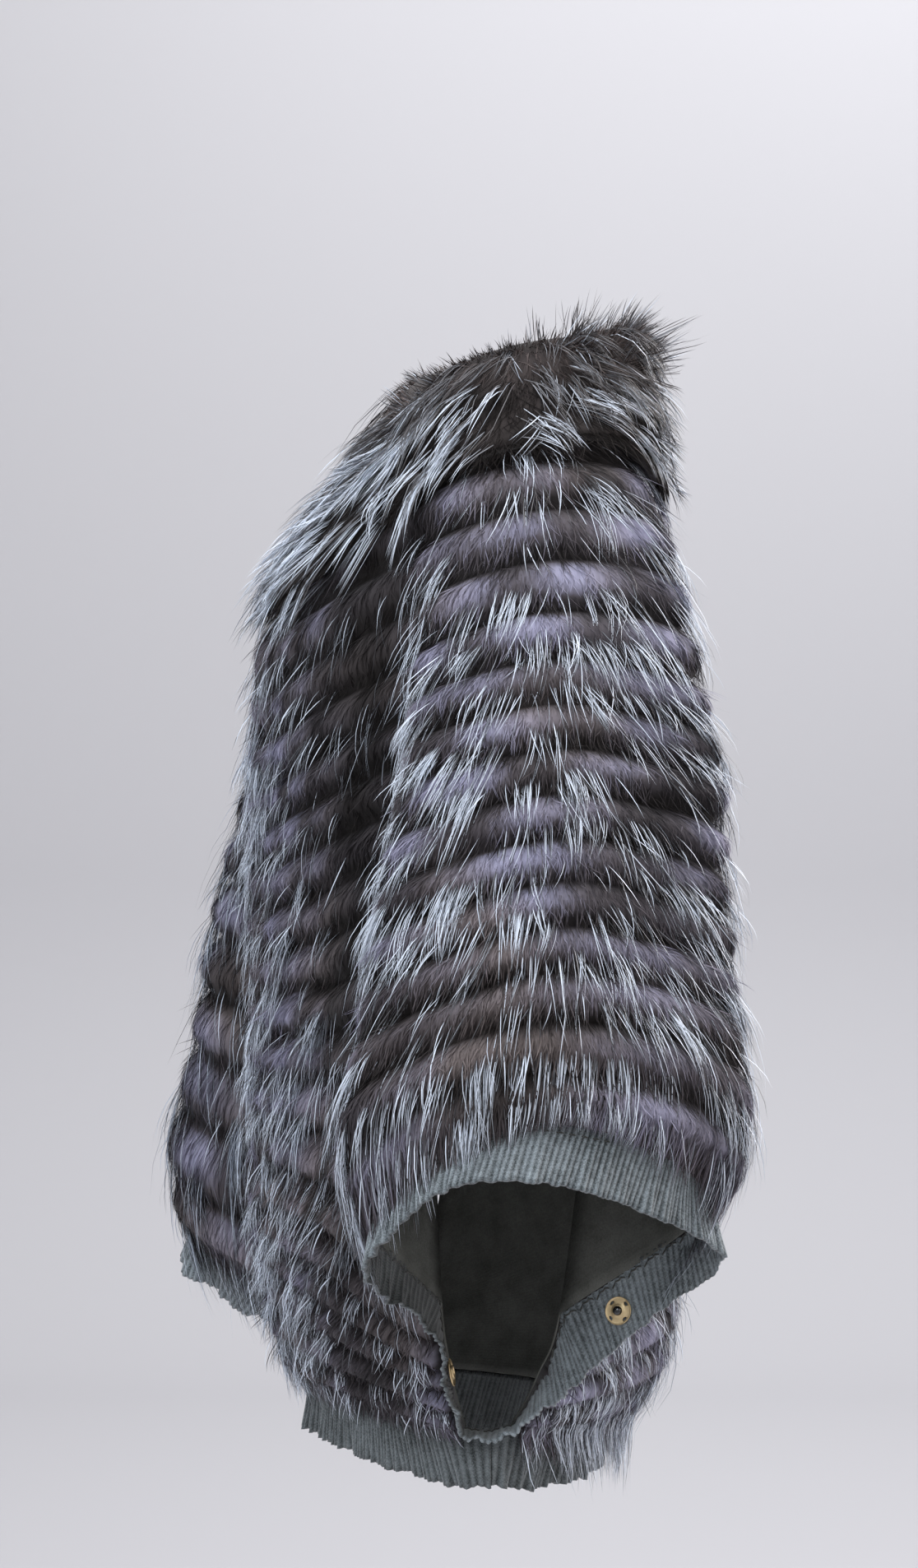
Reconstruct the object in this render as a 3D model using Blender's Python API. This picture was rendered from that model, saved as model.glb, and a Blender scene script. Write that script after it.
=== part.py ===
"""Silver fox poncho coat on a knitted base, as worn, with nobody in it.

The coat's front (the wearer's chest) faces -Y, the wearer's left is +X and +Z is up. The origin is the middle
of the neck seam. Every panel is a loft: rows follow the fur strips, numbered down from the neck seam, and
columns run across the panel. A panel's inner face is the plain knitted base. Its outer face is the fur, raised
into one rounded ridge for each strip.
"""

from collections import namedtuple

import bmesh
import bpy
import numpy as np

NAME = "fur_poncho_coat"

# Strips and walls, in metres.
BODY_STRIPS = 21  # front and back, neck seam to hem band
SLEEVE_STRIPS = 16  # neck seam to the opening's band
ROWS_A_STRIP = 3  # rows of outer points for each strip
FUR_GROOVE = 0.010  # wall between two strips
FUR_RIDGE = 0.023  # wall at the fullest part of a strip
FUR_UNDER_COLLAR = 0.008
FUR_RIM = 0.009  # wall where a band is sewn on
RIDGE_PROFILE = (0.0, 0.82, 1.0)  # share of the ridge at each of a strip's rows
RIM_STRIPS = 0.6  # the fur thins over this many strips towards a band
SEAM_GAP = 0.0003
BAND_GAP = 0.0016  # an opening band stands off the cut edge of its panel, where the sewn edge turns
PRESSED_FUR_GAP = 0.0024  # the collar's underside over the panels

# The rib-knit bands.
BAND_WALL = 0.0036
RIB_HEIGHT = 0.0018
CUFF_RIBS = 56
HEM_RIBS_EACH = 40

# Columns.
BODY_COLUMNS_HALF = 7
SLEEVE_COLUMNS = 12
EDGE_POWER = 2.6  # how squarely a panel turns from its middle to its side seams

# The collar.
COLLAR_FUR = 0.027
COLLAR_LIP = 0.011
COLLAR_ROLL = 0.040

# The press fastener.
STUD_RADIUS = 0.0105
STUD_PLATE = 0.0012
STUD_BALL = 0.0034
STUD_HEIGHT = 0.0042
SOCKET_RADIUS = 0.0105
SOCKET_HEIGHT = 0.0026
STUD_ALONG, SOCKET_ALONG = 2.86, 0.50  # places along the opening, in the units of FREE_EDGE
FASTENER_ACROSS = 0.52  # share of the band's height, from its seam

BodyRow = namedtuple(
    "BodyRow", "strip front_y front_z fseam_x fseam_y fseam_z back_y back_z bseam_x bseam_y bseam_z"
)
BODY = [
    BodyRow(0.0, -0.062, -0.030, 0.058, -0.045, -0.015, 0.066, 0.012, 0.058, 0.045, 0.004),
    BodyRow(1.5, -0.112, -0.085, 0.095, -0.068, -0.060, 0.096, -0.050, 0.098, 0.070, -0.042),
    BodyRow(3.0, -0.159, -0.175, 0.124, -0.078, -0.120, 0.112, -0.128, 0.130, 0.080, -0.105),
    BodyRow(5.0, -0.168, -0.256, 0.147, -0.082, -0.200, 0.114, -0.215, 0.150, 0.078, -0.195),
    BodyRow(8.0, -0.168, -0.356, 0.163, -0.084, -0.308, 0.114, -0.325, 0.166, 0.066, -0.305),
    BodyRow(11.0, -0.167, -0.457, 0.176, -0.088, -0.425, 0.112, -0.435, 0.180, 0.048, -0.420),
    BodyRow(13.0, -0.166, -0.523, 0.184, -0.089, -0.515, 0.112, -0.505, 0.190, 0.030, -0.510),
    BodyRow(16.0, -0.163, -0.624, 0.197, -0.086, -0.680, 0.117, -0.610, 0.208, 0.000, -0.690),
    BodyRow(18.5, -0.153, -0.690, 0.188, -0.076, -0.735, 0.119, -0.700, 0.192, -0.012, -0.735),
    BodyRow(20.0, -0.145, -0.731, 0.180, -0.069, -0.758, 0.106, -0.752, 0.183, -0.020, -0.757),
    BodyRow(21.0, -0.137, -0.757, 0.172, -0.062, -0.776, 0.084, -0.779, 0.175, -0.028, -0.774),
]

SleeveRow = namedtuple(
    "SleeveRow", "strip front_x front_y front_z arm_x arm_y arm_z back_x back_y back_z"
)
SLEEVE = [
    SleeveRow(0.0, 0.071, -0.026, -0.009, 0.078, 0.000, -0.004, 0.071, 0.026, -0.001),
    SleeveRow(1.5, 0.112, -0.046, -0.046, 0.122, 0.000, -0.038, 0.113, 0.047, -0.037),
    SleeveRow(3.0, 0.146, -0.056, -0.104, 0.155, 0.004, -0.090, 0.152, 0.070, -0.094),
    SleeveRow(5.0, 0.184, -0.072, -0.187, 0.196, 0.002, -0.168, 0.186, 0.088, -0.178),
    SleeveRow(8.0, 0.222, -0.101, -0.293, 0.247, -0.006, -0.271, 0.222, 0.101, -0.288),
    SleeveRow(11.0, 0.245, -0.127, -0.402, 0.283, -0.014, -0.367, 0.245, 0.103, -0.393),
    SleeveRow(13.0, 0.256, -0.143, -0.476, 0.303, -0.022, -0.4325, 0.260, 0.105, -0.466),
    SleeveRow(15.0, 0.268, -0.160, -0.560, 0.322, -0.037, -0.503, 0.280, 0.107, -0.552),
    SleeveRow(16.0, 0.275, -0.152, -0.607, 0.3295, -0.045, -0.538, 0.292, 0.090, -0.598),
]

# Where the sleeve's columns in SLEEVE lie, from the front seam at 0 to the back seam at 1.
SLEEVE_COLUMNS_AT = (0.0, 0.25, 0.5, 0.75, 1.0)

# Which way the fur stands, as degrees from +X, at the coat's middle front, seams and folds.
FRONT_MIDDLE_WAY, BACK_MIDDLE_WAY = -90.0, 90.0
SLEEVE_WAYS = (-90.0, -62.0, 0.0, 62.0, 90.0)
FRONT_EDGE_WAY, BACK_EDGE_WAY = -45.0, 30.0
EDGE_TURNS_FROM, EDGE_TURNS_TO = 16.0, 18.5  # strips over which the seam's way becomes the edge's

# Soft upright folds in the panels: where across, over which strips, how deep (inwards) and how wide.
Fold = namedtuple("Fold", "panel across first last depth width")
FOLDS = [
    Fold("sleeve", 0.62, 5.0, 15.0, 0.013, 0.080),
    Fold("sleeve", 0.38, 9.0, 16.0, 0.006, 0.070),
    Fold("front", 0.55, 8.0, 18.0, 0.010, 0.140),
    Fold("back", 0.50, 8.0, 18.0, 0.009, 0.150),
]

# The opening's free edge: along is 0 at the front's lower corner, 1 where the front meets the sleeve, 2 over
# the wrist, 3 where the sleeve meets the back, 4 at the back's lower corner and 4.5 at the side seam.
EdgePoint = namedtuple("EdgePoint", "along x y z")
FREE_EDGE = [
    EdgePoint(0.00, 0.200, -0.072, -0.780),
    EdgePoint(0.50, 0.225, -0.090, -0.727),
    EdgePoint(1.00, 0.235, -0.103, -0.692),
    EdgePoint(1.25, 0.258, -0.138, -0.669),
    EdgePoint(1.50, 0.286, -0.161, -0.644),
    EdgePoint(1.75, 0.327, -0.120, -0.589),
    EdgePoint(2.00, 0.350, -0.062, -0.578),
    EdgePoint(2.25, 0.336, 0.017, -0.5975),
    EdgePoint(2.50, 0.290, 0.102, -0.642),
    EdgePoint(2.75, 0.264, 0.064, -0.681),
    EdgePoint(3.00, 0.235, 0.016, -0.729),
    EdgePoint(3.50, 0.215, -0.013, -0.758),
    EdgePoint(4.00, 0.203, -0.036, -0.776),
    EdgePoint(4.50, 0.197, -0.055, -0.783),
]
ALONG_END = 5.0  # the same place as 0
SIDE_SEAM_ROOT = (0.171, -0.045, -0.779)  # the band's seam at along 4.5

# The collar: around is 0 at the middle front, 1 at the front seam, 1.5 over the shoulder, 2 at the back seam
# and 3 at the middle back. It covers `reach` strips, stands up by `stand` and leans out by `lean`.
CollarRow = namedtuple("CollarRow", "around reach stand lean")
COLLAR = [
    CollarRow(0.0, 2.75, 0.034, 0.012),
    CollarRow(0.5, 2.60, 0.038, 0.012),
    CollarRow(1.0, 2.15, 0.048, 0.014),
    CollarRow(1.5, 1.70, 0.056, 0.020),
    CollarRow(2.0, 1.60, 0.060, 0.030),
    CollarRow(3.0, 1.70, 0.063, 0.042),
]
COLLAR_UNDER_ROWS = 6
COLLAR_OUTER_ROWS = 8
COLLAR_EASE = 0.35  # strips over which the fur rises again below the collar

# The hem band's lower edge and the side seam that joins its front to its back.
HEM_FRONT_Y, HEM_FRONT_Z = -0.141, -0.800
HEM_BACK_Y, HEM_BACK_Z = 0.074, -0.824
HEM_SIDE = (0.182, -0.046, -0.828)
HEM_SIDE_ROOT = (0.178, -0.045, -0.7960)
HEM_LEAVES = 0.92  # share of a panel's half width at which the hem band leaves its rim for the side seam

# The wearer's right side hangs lower and further forward than the left.
Side = namedtuple("Side", "sign drop forward")
LEFT = Side(1.0, 0.0, 0.0)
RIGHT = Side(-1.0, 0.055, 0.050)
SWING_FROM, SWING_TO = 8.0, 16.0  # strips over which the side's drop grows
FORWARD_FROM, FORWARD_TO = 1.5, 9.0  # strips over which its step forward grows

COLOURS = {  # base colour, roughness, metallic
    "fur": ((0.115, 0.105, 0.118), 0.75, 0.0),
    "rib": ((0.125, 0.160, 0.170), 0.90, 0.0),
    "metal": ((0.62, 0.55, 0.38), 0.30, 1.0),
}


def smooth_step(value, low, high):
    share = np.clip((np.asarray(value, float) - low) / (high - low), 0.0, 1.0)
    return share * share * (3.0 - 2.0 * share)


def through(knots, values, at):
    """A cubic curve through values at knots, read at `at`. Slopes are those of a parabola through neighbours."""
    knots = np.asarray(knots, float)
    values = np.asarray(values, float)
    at = np.asarray(at, float)
    step = np.diff(knots)
    shape = (-1,) + (1,) * (values.ndim - 1)
    chord = np.diff(values, axis=0) / step.reshape(shape)
    slope = np.empty_like(values)
    before, after = step[:-1].reshape(shape), step[1:].reshape(shape)
    slope[1:-1] = (chord[:-1] * after + chord[1:] * before) / (before + after)
    slope[0], slope[-1] = chord[0], chord[-1]
    cell = np.clip(np.searchsorted(knots, at, side="right") - 1, 0, len(step) - 1)
    width = step[cell]
    share = (at - knots[cell]) / width
    tail = at.shape + (1,) * (values.ndim - 1)
    share, width = share.reshape(tail), width.reshape(tail)
    square, cube = share**2, share**3
    return (
        (2 * cube - 3 * square + 1) * values[cell]
        + (cube - 2 * square + share) * width * slope[cell]
        + (3 * square - 2 * cube) * values[cell + 1]
        + (cube - square) * width * slope[cell + 1]
    )


def column(table, *names):
    """The named columns of a table, as an array with a row for each section."""
    return np.array([[getattr(row, name) for name in names] for row in table], float)


def swing(side, strip, share):
    """How far a side's hang moves a point: down and forwards, more towards the opening. share is 0 to 1."""
    down = smooth_step(strip, SWING_FROM, SWING_TO) * share
    forward = smooth_step(strip, FORWARD_FROM, FORWARD_TO) * share
    return np.stack([np.zeros_like(down), -side.forward * forward, -side.drop * down], axis=-1)


def seam(side, strip, which):
    """The front or back seam's inner line on the wearer's left, with the side's hang."""
    strip = np.asarray(strip, float)
    names = ("fseam_x", "fseam_y", "fseam_z") if which == "front" else ("bseam_x", "bseam_y", "bseam_z")
    points = through(column(BODY, "strip")[:, 0], column(BODY, *names), strip)
    fade = 1.0 - smooth_step(strip, SWING_TO, BODY_STRIPS)
    share = (0.9 if which == "front" else 0.25) * fade
    return points + swing(side, strip, share)


def fold_depth(panel, across, strip):
    """How far the upright folds press a panel in, for across (columns) and strip (rows)."""
    depth = np.zeros(np.broadcast(across, strip).shape)
    for fold in FOLDS:
        if fold.panel == panel:
            over = smooth_step(strip, fold.first, fold.first + 3) * smooth_step(-strip, -fold.last, 3 - fold.last)
            depth = depth + fold.depth * over * np.exp(-(((across - fold.across) / fold.width) ** 2))
    return depth


def body_inner(side, which, across, strip):
    """Inner points of the front or back on one side: across 0 at the middle, 1 at the seam or edge."""
    across, strip = np.meshgrid(across, strip)
    middle = through(column(BODY, "strip")[:, 0], column(BODY, f"{which}_y", f"{which}_z"), strip)
    edge = seam(side, strip, which)
    points = np.empty(across.shape + (3,))
    points[..., 0] = edge[..., 0] * across
    points[..., 1] = middle[..., 0] + (edge[..., 1] - middle[..., 0]) * across**EDGE_POWER
    points[..., 2] = middle[..., 1] + (edge[..., 2] - middle[..., 1]) * across**2
    inwards = 1.0 if which == "front" else -1.0
    points[..., 1] += inwards * fold_depth(which, across, strip)
    return points


def body_way(which, across, strip):
    """Which way the fur stands on the front or back, in degrees from +X."""
    across, strip = np.meshgrid(across, strip)
    middle = FRONT_MIDDLE_WAY if which == "front" else BACK_MIDDLE_WAY
    seam_way = SLEEVE_WAYS[0] if which == "front" else SLEEVE_WAYS[-1]
    edge_way = FRONT_EDGE_WAY if which == "front" else BACK_EDGE_WAY
    edge = seam_way + (edge_way - seam_way) * smooth_step(strip, EDGE_TURNS_FROM, EDGE_TURNS_TO)
    return middle + (edge - middle) * across**2


def sleeve_inner(side, across, strip):
    """Inner points of a sleeve part: across 0 at the front seam, 1 at the back seam."""
    across, strip = np.asarray(across, float), np.asarray(strip, float)
    strips = column(SLEEVE, "strip")[:, 0]
    lines = [seam(side, strip, "front")]
    for names, share in (
        (("front_x", "front_y", "front_z"), 1.0),
        (("arm_x", "arm_y", "arm_z"), 0.45),
        (("back_x", "back_y", "back_z"), 0.25),
    ):
        lines.append(through(strips, column(SLEEVE, *names), strip) + swing(side, strip, share))
    lines.append(seam(side, strip, "back"))
    points = np.swapaxes(through(SLEEVE_COLUMNS_AT, np.array(lines), across), 0, 1)
    ways = np.radians(through(SLEEVE_COLUMNS_AT, np.array(SLEEVE_WAYS), across))
    depth = fold_depth("sleeve", *np.meshgrid(across, strip))
    points[..., 0] -= depth * np.cos(ways)
    points[..., 1] -= depth * np.sin(ways)
    return points


def sleeve_way(across, strip):
    ways = through(SLEEVE_COLUMNS_AT, np.array(SLEEVE_WAYS), across)
    return np.broadcast_to(ways, (len(strip), len(across)))


def outward(inner_at, ways, strip):
    """Unit directions in which the wall grows: square to the panel's run from strip to strip."""
    step = 0.05
    run = inner_at(strip + step) - inner_at(strip - step)
    flat = np.stack([np.cos(np.radians(ways)), np.sin(np.radians(ways))], axis=-1)
    along = (run[..., :2] * flat).sum(-1)
    way = np.empty_like(run)
    way[..., :2] = -run[..., 2:] * flat
    way[..., 2] = along
    return way / np.linalg.norm(way, axis=-1, keepdims=True)


def collar_reach(around):
    return through(column(COLLAR, "around")[:, 0], column(COLLAR, "reach")[:, 0], around)


def fur_height(strip, around, last):
    """The wall's height on a grid of strips and places around the coat."""
    around, strip = np.meshgrid(around, strip)
    place = np.round((strip % 1.0) * ROWS_A_STRIP).astype(int) % ROWS_A_STRIP
    height = FUR_GROOVE + (FUR_RIDGE - FUR_GROOVE) * np.array(RIDGE_PROFILE)[place]
    reach = collar_reach(around)
    free = smooth_step(strip, reach - COLLAR_EASE, reach + COLLAR_EASE)
    height = FUR_UNDER_COLLAR + (height - FUR_UNDER_COLLAR) * free
    rim = smooth_step(last - strip, 0.0, RIM_STRIPS)
    return FUR_RIM + (height - FUR_RIM) * np.where(free > 0, rim, 1.0) if last else height


def mirrored(points, side):
    return points * np.array([side.sign, 1.0, 1.0])


def body_walls(which, strip):
    """Inner points and outward directions of a whole front or back, from the right seam to the left one."""
    half = np.linspace(0.0, 1.0, BODY_COLUMNS_HALF + 1)
    inner, way = [], []
    for side, across in ((RIGHT, half[:0:-1]), (LEFT, half)):
        def inner_at(rows, side=side, across=across):
            return body_inner(side, which, across, rows)

        inner.append(mirrored(inner_at(strip), side))
        way.append(mirrored(outward(inner_at, body_way(which, across, strip), strip), side))
    around = np.concatenate([half[:0:-1], half])
    if which == "back":
        around = 3.0 - around
    return np.concatenate(inner, axis=1), np.concatenate(way, axis=1), around


def sleeve_walls(side, strip):
    across = np.linspace(0.0, 1.0, SLEEVE_COLUMNS + 1)

    def inner_at(rows):
        return sleeve_inner(side, across, rows)

    inner = mirrored(inner_at(strip), side)
    way = mirrored(outward(inner_at, sleeve_way(across, strip), strip), side)
    return inner, way, 1.0 + across


def open_seams(points, way, edges=(0, -1)):
    """Moves a grid's side columns in from the seam by half the seam gap, square to the seam's own face."""
    moved = points.copy()
    for edge in edges:
        inside = 1 if edge == 0 else -2
        run = np.gradient(points[:, edge], axis=0)
        across = np.cross(run, way[:, edge])
        across /= np.linalg.norm(across, axis=-1, keepdims=True)
        towards = points[:, inside] - points[:, edge]
        across *= np.sign((across * towards).sum(-1, keepdims=True))
        moved[:, edge] += across * SEAM_GAP * 0.75
    return moved


def add_object(name, mesh, finish):
    data = bpy.data.meshes.new(name)
    mesh.to_mesh(data)
    mesh.free()
    colour, roughness, metallic = COLOURS[finish]
    material = bpy.data.materials.new(name)
    material.use_nodes = True
    shader = material.node_tree.nodes["Principled BSDF"]
    shader.inputs["Base Color"].default_value = (*colour, 1.0)
    shader.inputs["Roughness"].default_value = roughness
    shader.inputs["Metallic"].default_value = metallic
    material.diffuse_color = (*colour, 1.0)
    data.materials.append(material)
    thing = bpy.data.objects.new(name, data)
    bpy.data.collections[NAME].objects.link(thing)
    return thing


def face_outwards(mesh):
    bmesh.ops.recalc_face_normals(mesh, faces=mesh.faces)
    if mesh.calc_volume(signed=True) < 0:
        bmesh.ops.reverse_faces(mesh, faces=mesh.faces)


def wall(name, inner, outer, finish):
    """A closed wall between two grids. The outer grid has a whole number of cells to each inner cell.

    Each rim is a row of flat faces, one for each inner cell, that take in the outer points beside it.
    """
    rows_a_cell = (outer.shape[0] - 1) // (inner.shape[0] - 1)
    columns_a_cell = (outer.shape[1] - 1) // (inner.shape[1] - 1)
    mesh = bmesh.new()
    inside = [[mesh.verts.new(point) for point in row] for row in inner]
    outside = [[mesh.verts.new(point) for point in row] for row in outer]
    for grid in (inside, outside):
        for upper, lower in zip(grid[:-1], grid[1:]):
            for corner in range(len(upper) - 1):
                mesh.faces.new((upper[corner], upper[corner + 1], lower[corner + 1], lower[corner]))
    for near, far in ((inside[0], outside[0]), (inside[-1], outside[-1])):
        for cell in range(len(near) - 1):
            span = far[cell * columns_a_cell : (cell + 1) * columns_a_cell + 1]
            mesh.faces.new((near[cell + 1], near[cell], *span))
    for end in (0, -1):
        for cell in range(len(inside) - 1):
            span = [row[end] for row in outside[cell * rows_a_cell : (cell + 1) * rows_a_cell + 1]]
            mesh.faces.new((inside[cell + 1][end], inside[cell][end], *span))
    face_outwards(mesh)
    return add_object(name, mesh, finish)


def ring_wall(name, inner, outer, finish):
    """As wall, for grids whose last column runs on to their first."""
    columns_a_cell = outer.shape[1] // inner.shape[1]
    mesh = bmesh.new()
    inside = [[mesh.verts.new(point) for point in row] for row in inner]
    outside = [[mesh.verts.new(point) for point in row] for row in outer]
    for grid in (inside, outside):
        for upper, lower in zip(grid[:-1], grid[1:]):
            count = len(upper)
            for corner in range(count):
                after = (corner + 1) % count
                mesh.faces.new((upper[corner], upper[after], lower[after], lower[corner]))
    for near, far in ((inside[0], outside[0]), (inside[-1], outside[-1])):
        for cell in range(len(near)):
            first = cell * columns_a_cell
            span = [far[(first + place) % len(far)] for place in range(columns_a_cell + 1)]
            mesh.faces.new((near[(cell + 1) % len(near)], near[cell], *span))
    face_outwards(mesh)
    return add_object(name, mesh, finish)


def fur_panel(name, walls, strips):
    """A fur panel from its walls function: plain inside by whole strips, ridged outside by parts of a strip."""
    coarse = np.arange(strips + 1, dtype=float)
    fine = np.linspace(0.0, strips, strips * ROWS_A_STRIP + 1)
    inner, way, _ = walls(coarse)
    base, fine_way, around = walls(fine)
    height = fur_height(fine, around, strips)[..., None]
    inner = open_seams(inner, way)
    outer = open_seams(base, fine_way) + fine_way * height
    wall(name, inner, outer, "fur")


def neck_ring():
    """The stations of the collar round the neck: around, and the walls that lie under it."""
    stations = []
    half = np.linspace(0.0, 1.0, BODY_COLUMNS_HALF + 1)
    across = np.linspace(0.0, 1.0, SLEEVE_COLUMNS + 1)
    for side in (LEFT, RIGHT):
        arc = [("front", share) for share in half[:-1]]
        arc += [("sleeve", share) for share in across]
        arc += [("back", share) for share in half[-2::-1]]
        if side is RIGHT:
            arc = arc[-2:0:-1]
        stations += [(side, panel, share) for panel, share in arc]
    return stations


def collar_section(side, panel, share):
    """One section of the collar, as a closed loop of points from the neck seam out under it and back over it."""
    around = {"front": share, "sleeve": 1.0 + share, "back": 3.0 - share}[panel]
    reach, stand, lean = through(
        column(COLLAR, "around")[:, 0], column(COLLAR, "reach", "stand", "lean"), np.array([around])
    )[0]
    under = np.linspace(0.0, reach, COLLAR_UNDER_ROWS + 1)
    share_list = np.array([share])

    def inner_at(rows):
        if panel == "sleeve":
            return sleeve_inner(side, share_list, rows)
        return body_inner(side, panel, share_list, rows)

    ways = sleeve_way(share_list, under) if panel == "sleeve" else body_way(panel, share_list, under)
    way = outward(inner_at, ways, under)[:, 0]
    inner = inner_at(under)[:, 0]
    rows = np.arange(0.0, reach + 1.0, 1.0 / ROWS_A_STRIP)
    height = np.interp(under, rows, fur_height(rows, np.array([around]), 0)[:, 0])
    clear = np.full(len(under), PRESSED_FUR_GAP)
    clear[0] = SEAM_GAP
    lower = inner + way * (height + clear)[:, None]
    neck = inner[0]
    level = neck * np.array([1.0, 1.0, 0.0])
    level /= np.linalg.norm(level)
    up = np.array([0.0, 0.0, 1.0])
    down = lower[-1] - lower[-2]
    down /= np.linalg.norm(down)
    lip = lower[-1] + way[-1] * COLLAR_FUR * 0.42 + down * COLLAR_LIP
    crown = neck + level * (lean + COLLAR_ROLL * 0.30) + up * stand
    belly = lower[-3] + way[-3] * COLLAR_FUR * 1.15
    shoulder = neck + level * (lean + COLLAR_ROLL) + up * stand * 0.95
    turn = np.linspace(0.0, 1.0, COLLAR_OUTER_ROWS)[:, None]
    outer = (
        (1 - turn) ** 3 * lip
        + 3 * (1 - turn) ** 2 * turn * belly
        + 3 * (1 - turn) * turn**2 * shoulder
        + turn**3 * crown
    )
    inside = [
        neck + level * lean * 0.65 + up * stand * 0.88,
        neck + level * lean * 0.10 + up * stand * 0.48,
    ]
    return mirrored(np.array([*lower, *outer, *inside]), side)


def collar():
    sections = np.array([collar_section(*station) for station in neck_ring()])
    mesh = bmesh.new()
    rings = [[mesh.verts.new(point) for point in section] for section in sections]
    points = len(rings[0])
    for place, ring in enumerate(rings):
        after = rings[(place + 1) % len(rings)]
        for corner in range(points):
            near = (corner + 1) % points
            mesh.faces.new((ring[corner], ring[near], after[near], after[corner]))
    face_outwards(mesh)
    add_object("collar", mesh, "fur")


def opening_rim(side):
    """The rim of an opening at the panels' own rows and columns, on the wearer's left.

    Gives along, the inner points, the wall's directions and the directions away from the panel.
    """
    strips = np.arange(BODY_STRIPS, SLEEVE_STRIPS - 1, -1.0)
    edge = np.array([1.0])
    parts = []
    for which in ("front", "back"):
        def inner_at(rows, which=which):
            return body_inner(side, which, edge, rows)

        points = inner_at(strips)[:, 0]
        ways = outward(inner_at, body_way(which, edge, strips), strips)[:, 0]
        beyond = np.cross(np.gradient(points, axis=0), ways)
        beyond /= np.linalg.norm(beyond, axis=1, keepdims=True)
        beyond *= np.sign(beyond[:, :1])
        parts.append((points, ways, beyond))
    across = np.linspace(0.0, 1.0, SLEEVE_COLUMNS + 1)
    last = np.array([float(SLEEVE_STRIPS)])

    def sleeve_at(rows):
        return sleeve_inner(side, across, rows)

    points = sleeve_at(last)[0]
    ways = outward(sleeve_at, sleeve_way(across, last), last)[0]
    beyond = sleeve_at(last)[0] - sleeve_at(last - 0.1)[0]
    beyond /= np.linalg.norm(beyond, axis=1, keepdims=True)
    front, back = parts
    low = np.array([SIDE_SEAM_ROOT]), np.array([(0.25, 0.0, -0.97)]), np.array([(0.97, 0.0, 0.25)])
    chain = (front, (points, ways, beyond), tuple(item[::-1] for item in back), low, front)
    joined = [
        np.concatenate([chain[0][item][:-1], chain[1][item], chain[2][item][1:], low[item], chain[0][item][:1]])
        for item in range(3)
    ]
    step = np.linspace(0.0, 1.0, len(strips))
    along = np.concatenate([step[:-1], 1.0 + 2.0 * across, 3.0 + step[1:], [4.5, ALONG_END]])
    return along, *joined


def opening_root(side, along):
    """The band's seam round an opening: inner points, the wall's direction and the way off the panel."""
    knots, *rims = opening_rim(side)
    found = [np.stack([np.interp(along, knots, rim[:, axis]) for axis in range(3)], axis=1) for rim in rims]
    return found[0], *(item / np.linalg.norm(item, axis=1, keepdims=True) for item in found[1:])


def free_edge(side, along):
    along = np.asarray(along, float)
    table = FREE_EDGE + [FREE_EDGE[0]._replace(along=ALONG_END)]
    points = through(column(table, "along")[:, 0], column(table, "x", "y", "z"), along)
    share = np.interp(along, (0.0, 1.0, 1.5, 2.0, 3.0, 4.0, 5.0), (0.1, 0.9, 1.0, 0.45, 0.25, 0.05, 0.1))
    return points + swing(side, np.full(len(along), SWING_TO), share)


def cuff_stations(count):
    """Places along the opening, evenly spaced on its free edge, with the last running on to the first."""
    fine = np.linspace(0.0, ALONG_END, 400)
    edge = free_edge(LEFT, fine)
    run = np.concatenate([[0.0], np.cumsum(np.linalg.norm(np.diff(edge, axis=0), axis=1))])
    return np.interp(np.arange(count) / count * run[-1], run, fine)


def cuff_grids(side, along):
    """Inner points and wall directions of an opening's band, in three rows from its seam to its free edge."""
    free = free_edge(side, along)
    root, root_way, beyond = opening_root(side, along)
    across = free - root
    run = np.roll(free, -1, axis=0) - np.roll(free, 1, axis=0)
    free_way = np.cross(across, run)
    free_way /= np.linalg.norm(free_way, axis=1, keepdims=True)
    free_way *= np.sign((free_way * root_way).sum(1, keepdims=True))
    start = root + beyond * BAND_GAP + root_way * 0.0010
    rows, ways = [], []
    for share in (0.0, 0.5, 1.0):
        rows.append(start + (free - start) * share)
        turn = min(1.0, share * 2.0)
        way = root_way * (1.0 - turn) + free_way * turn
        ways.append(way / np.linalg.norm(way, axis=1, keepdims=True))
    return np.array(rows), np.array(ways)


def ribbed(inner, way):
    """The outer points of a band: every second column is a rib."""
    height = BAND_WALL + RIB_HEIGHT * (np.arange(inner.shape[1]) % 2)
    return inner + way * height[None, :, None]


def cuff_band(name, side):
    along = cuff_stations(CUFF_RIBS * 2)
    inner, way = cuff_grids(side, along)
    outer = ribbed(inner, way)
    ring_wall(name, mirrored(inner[:, ::2], side), mirrored(outer, side), "rib")


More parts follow.
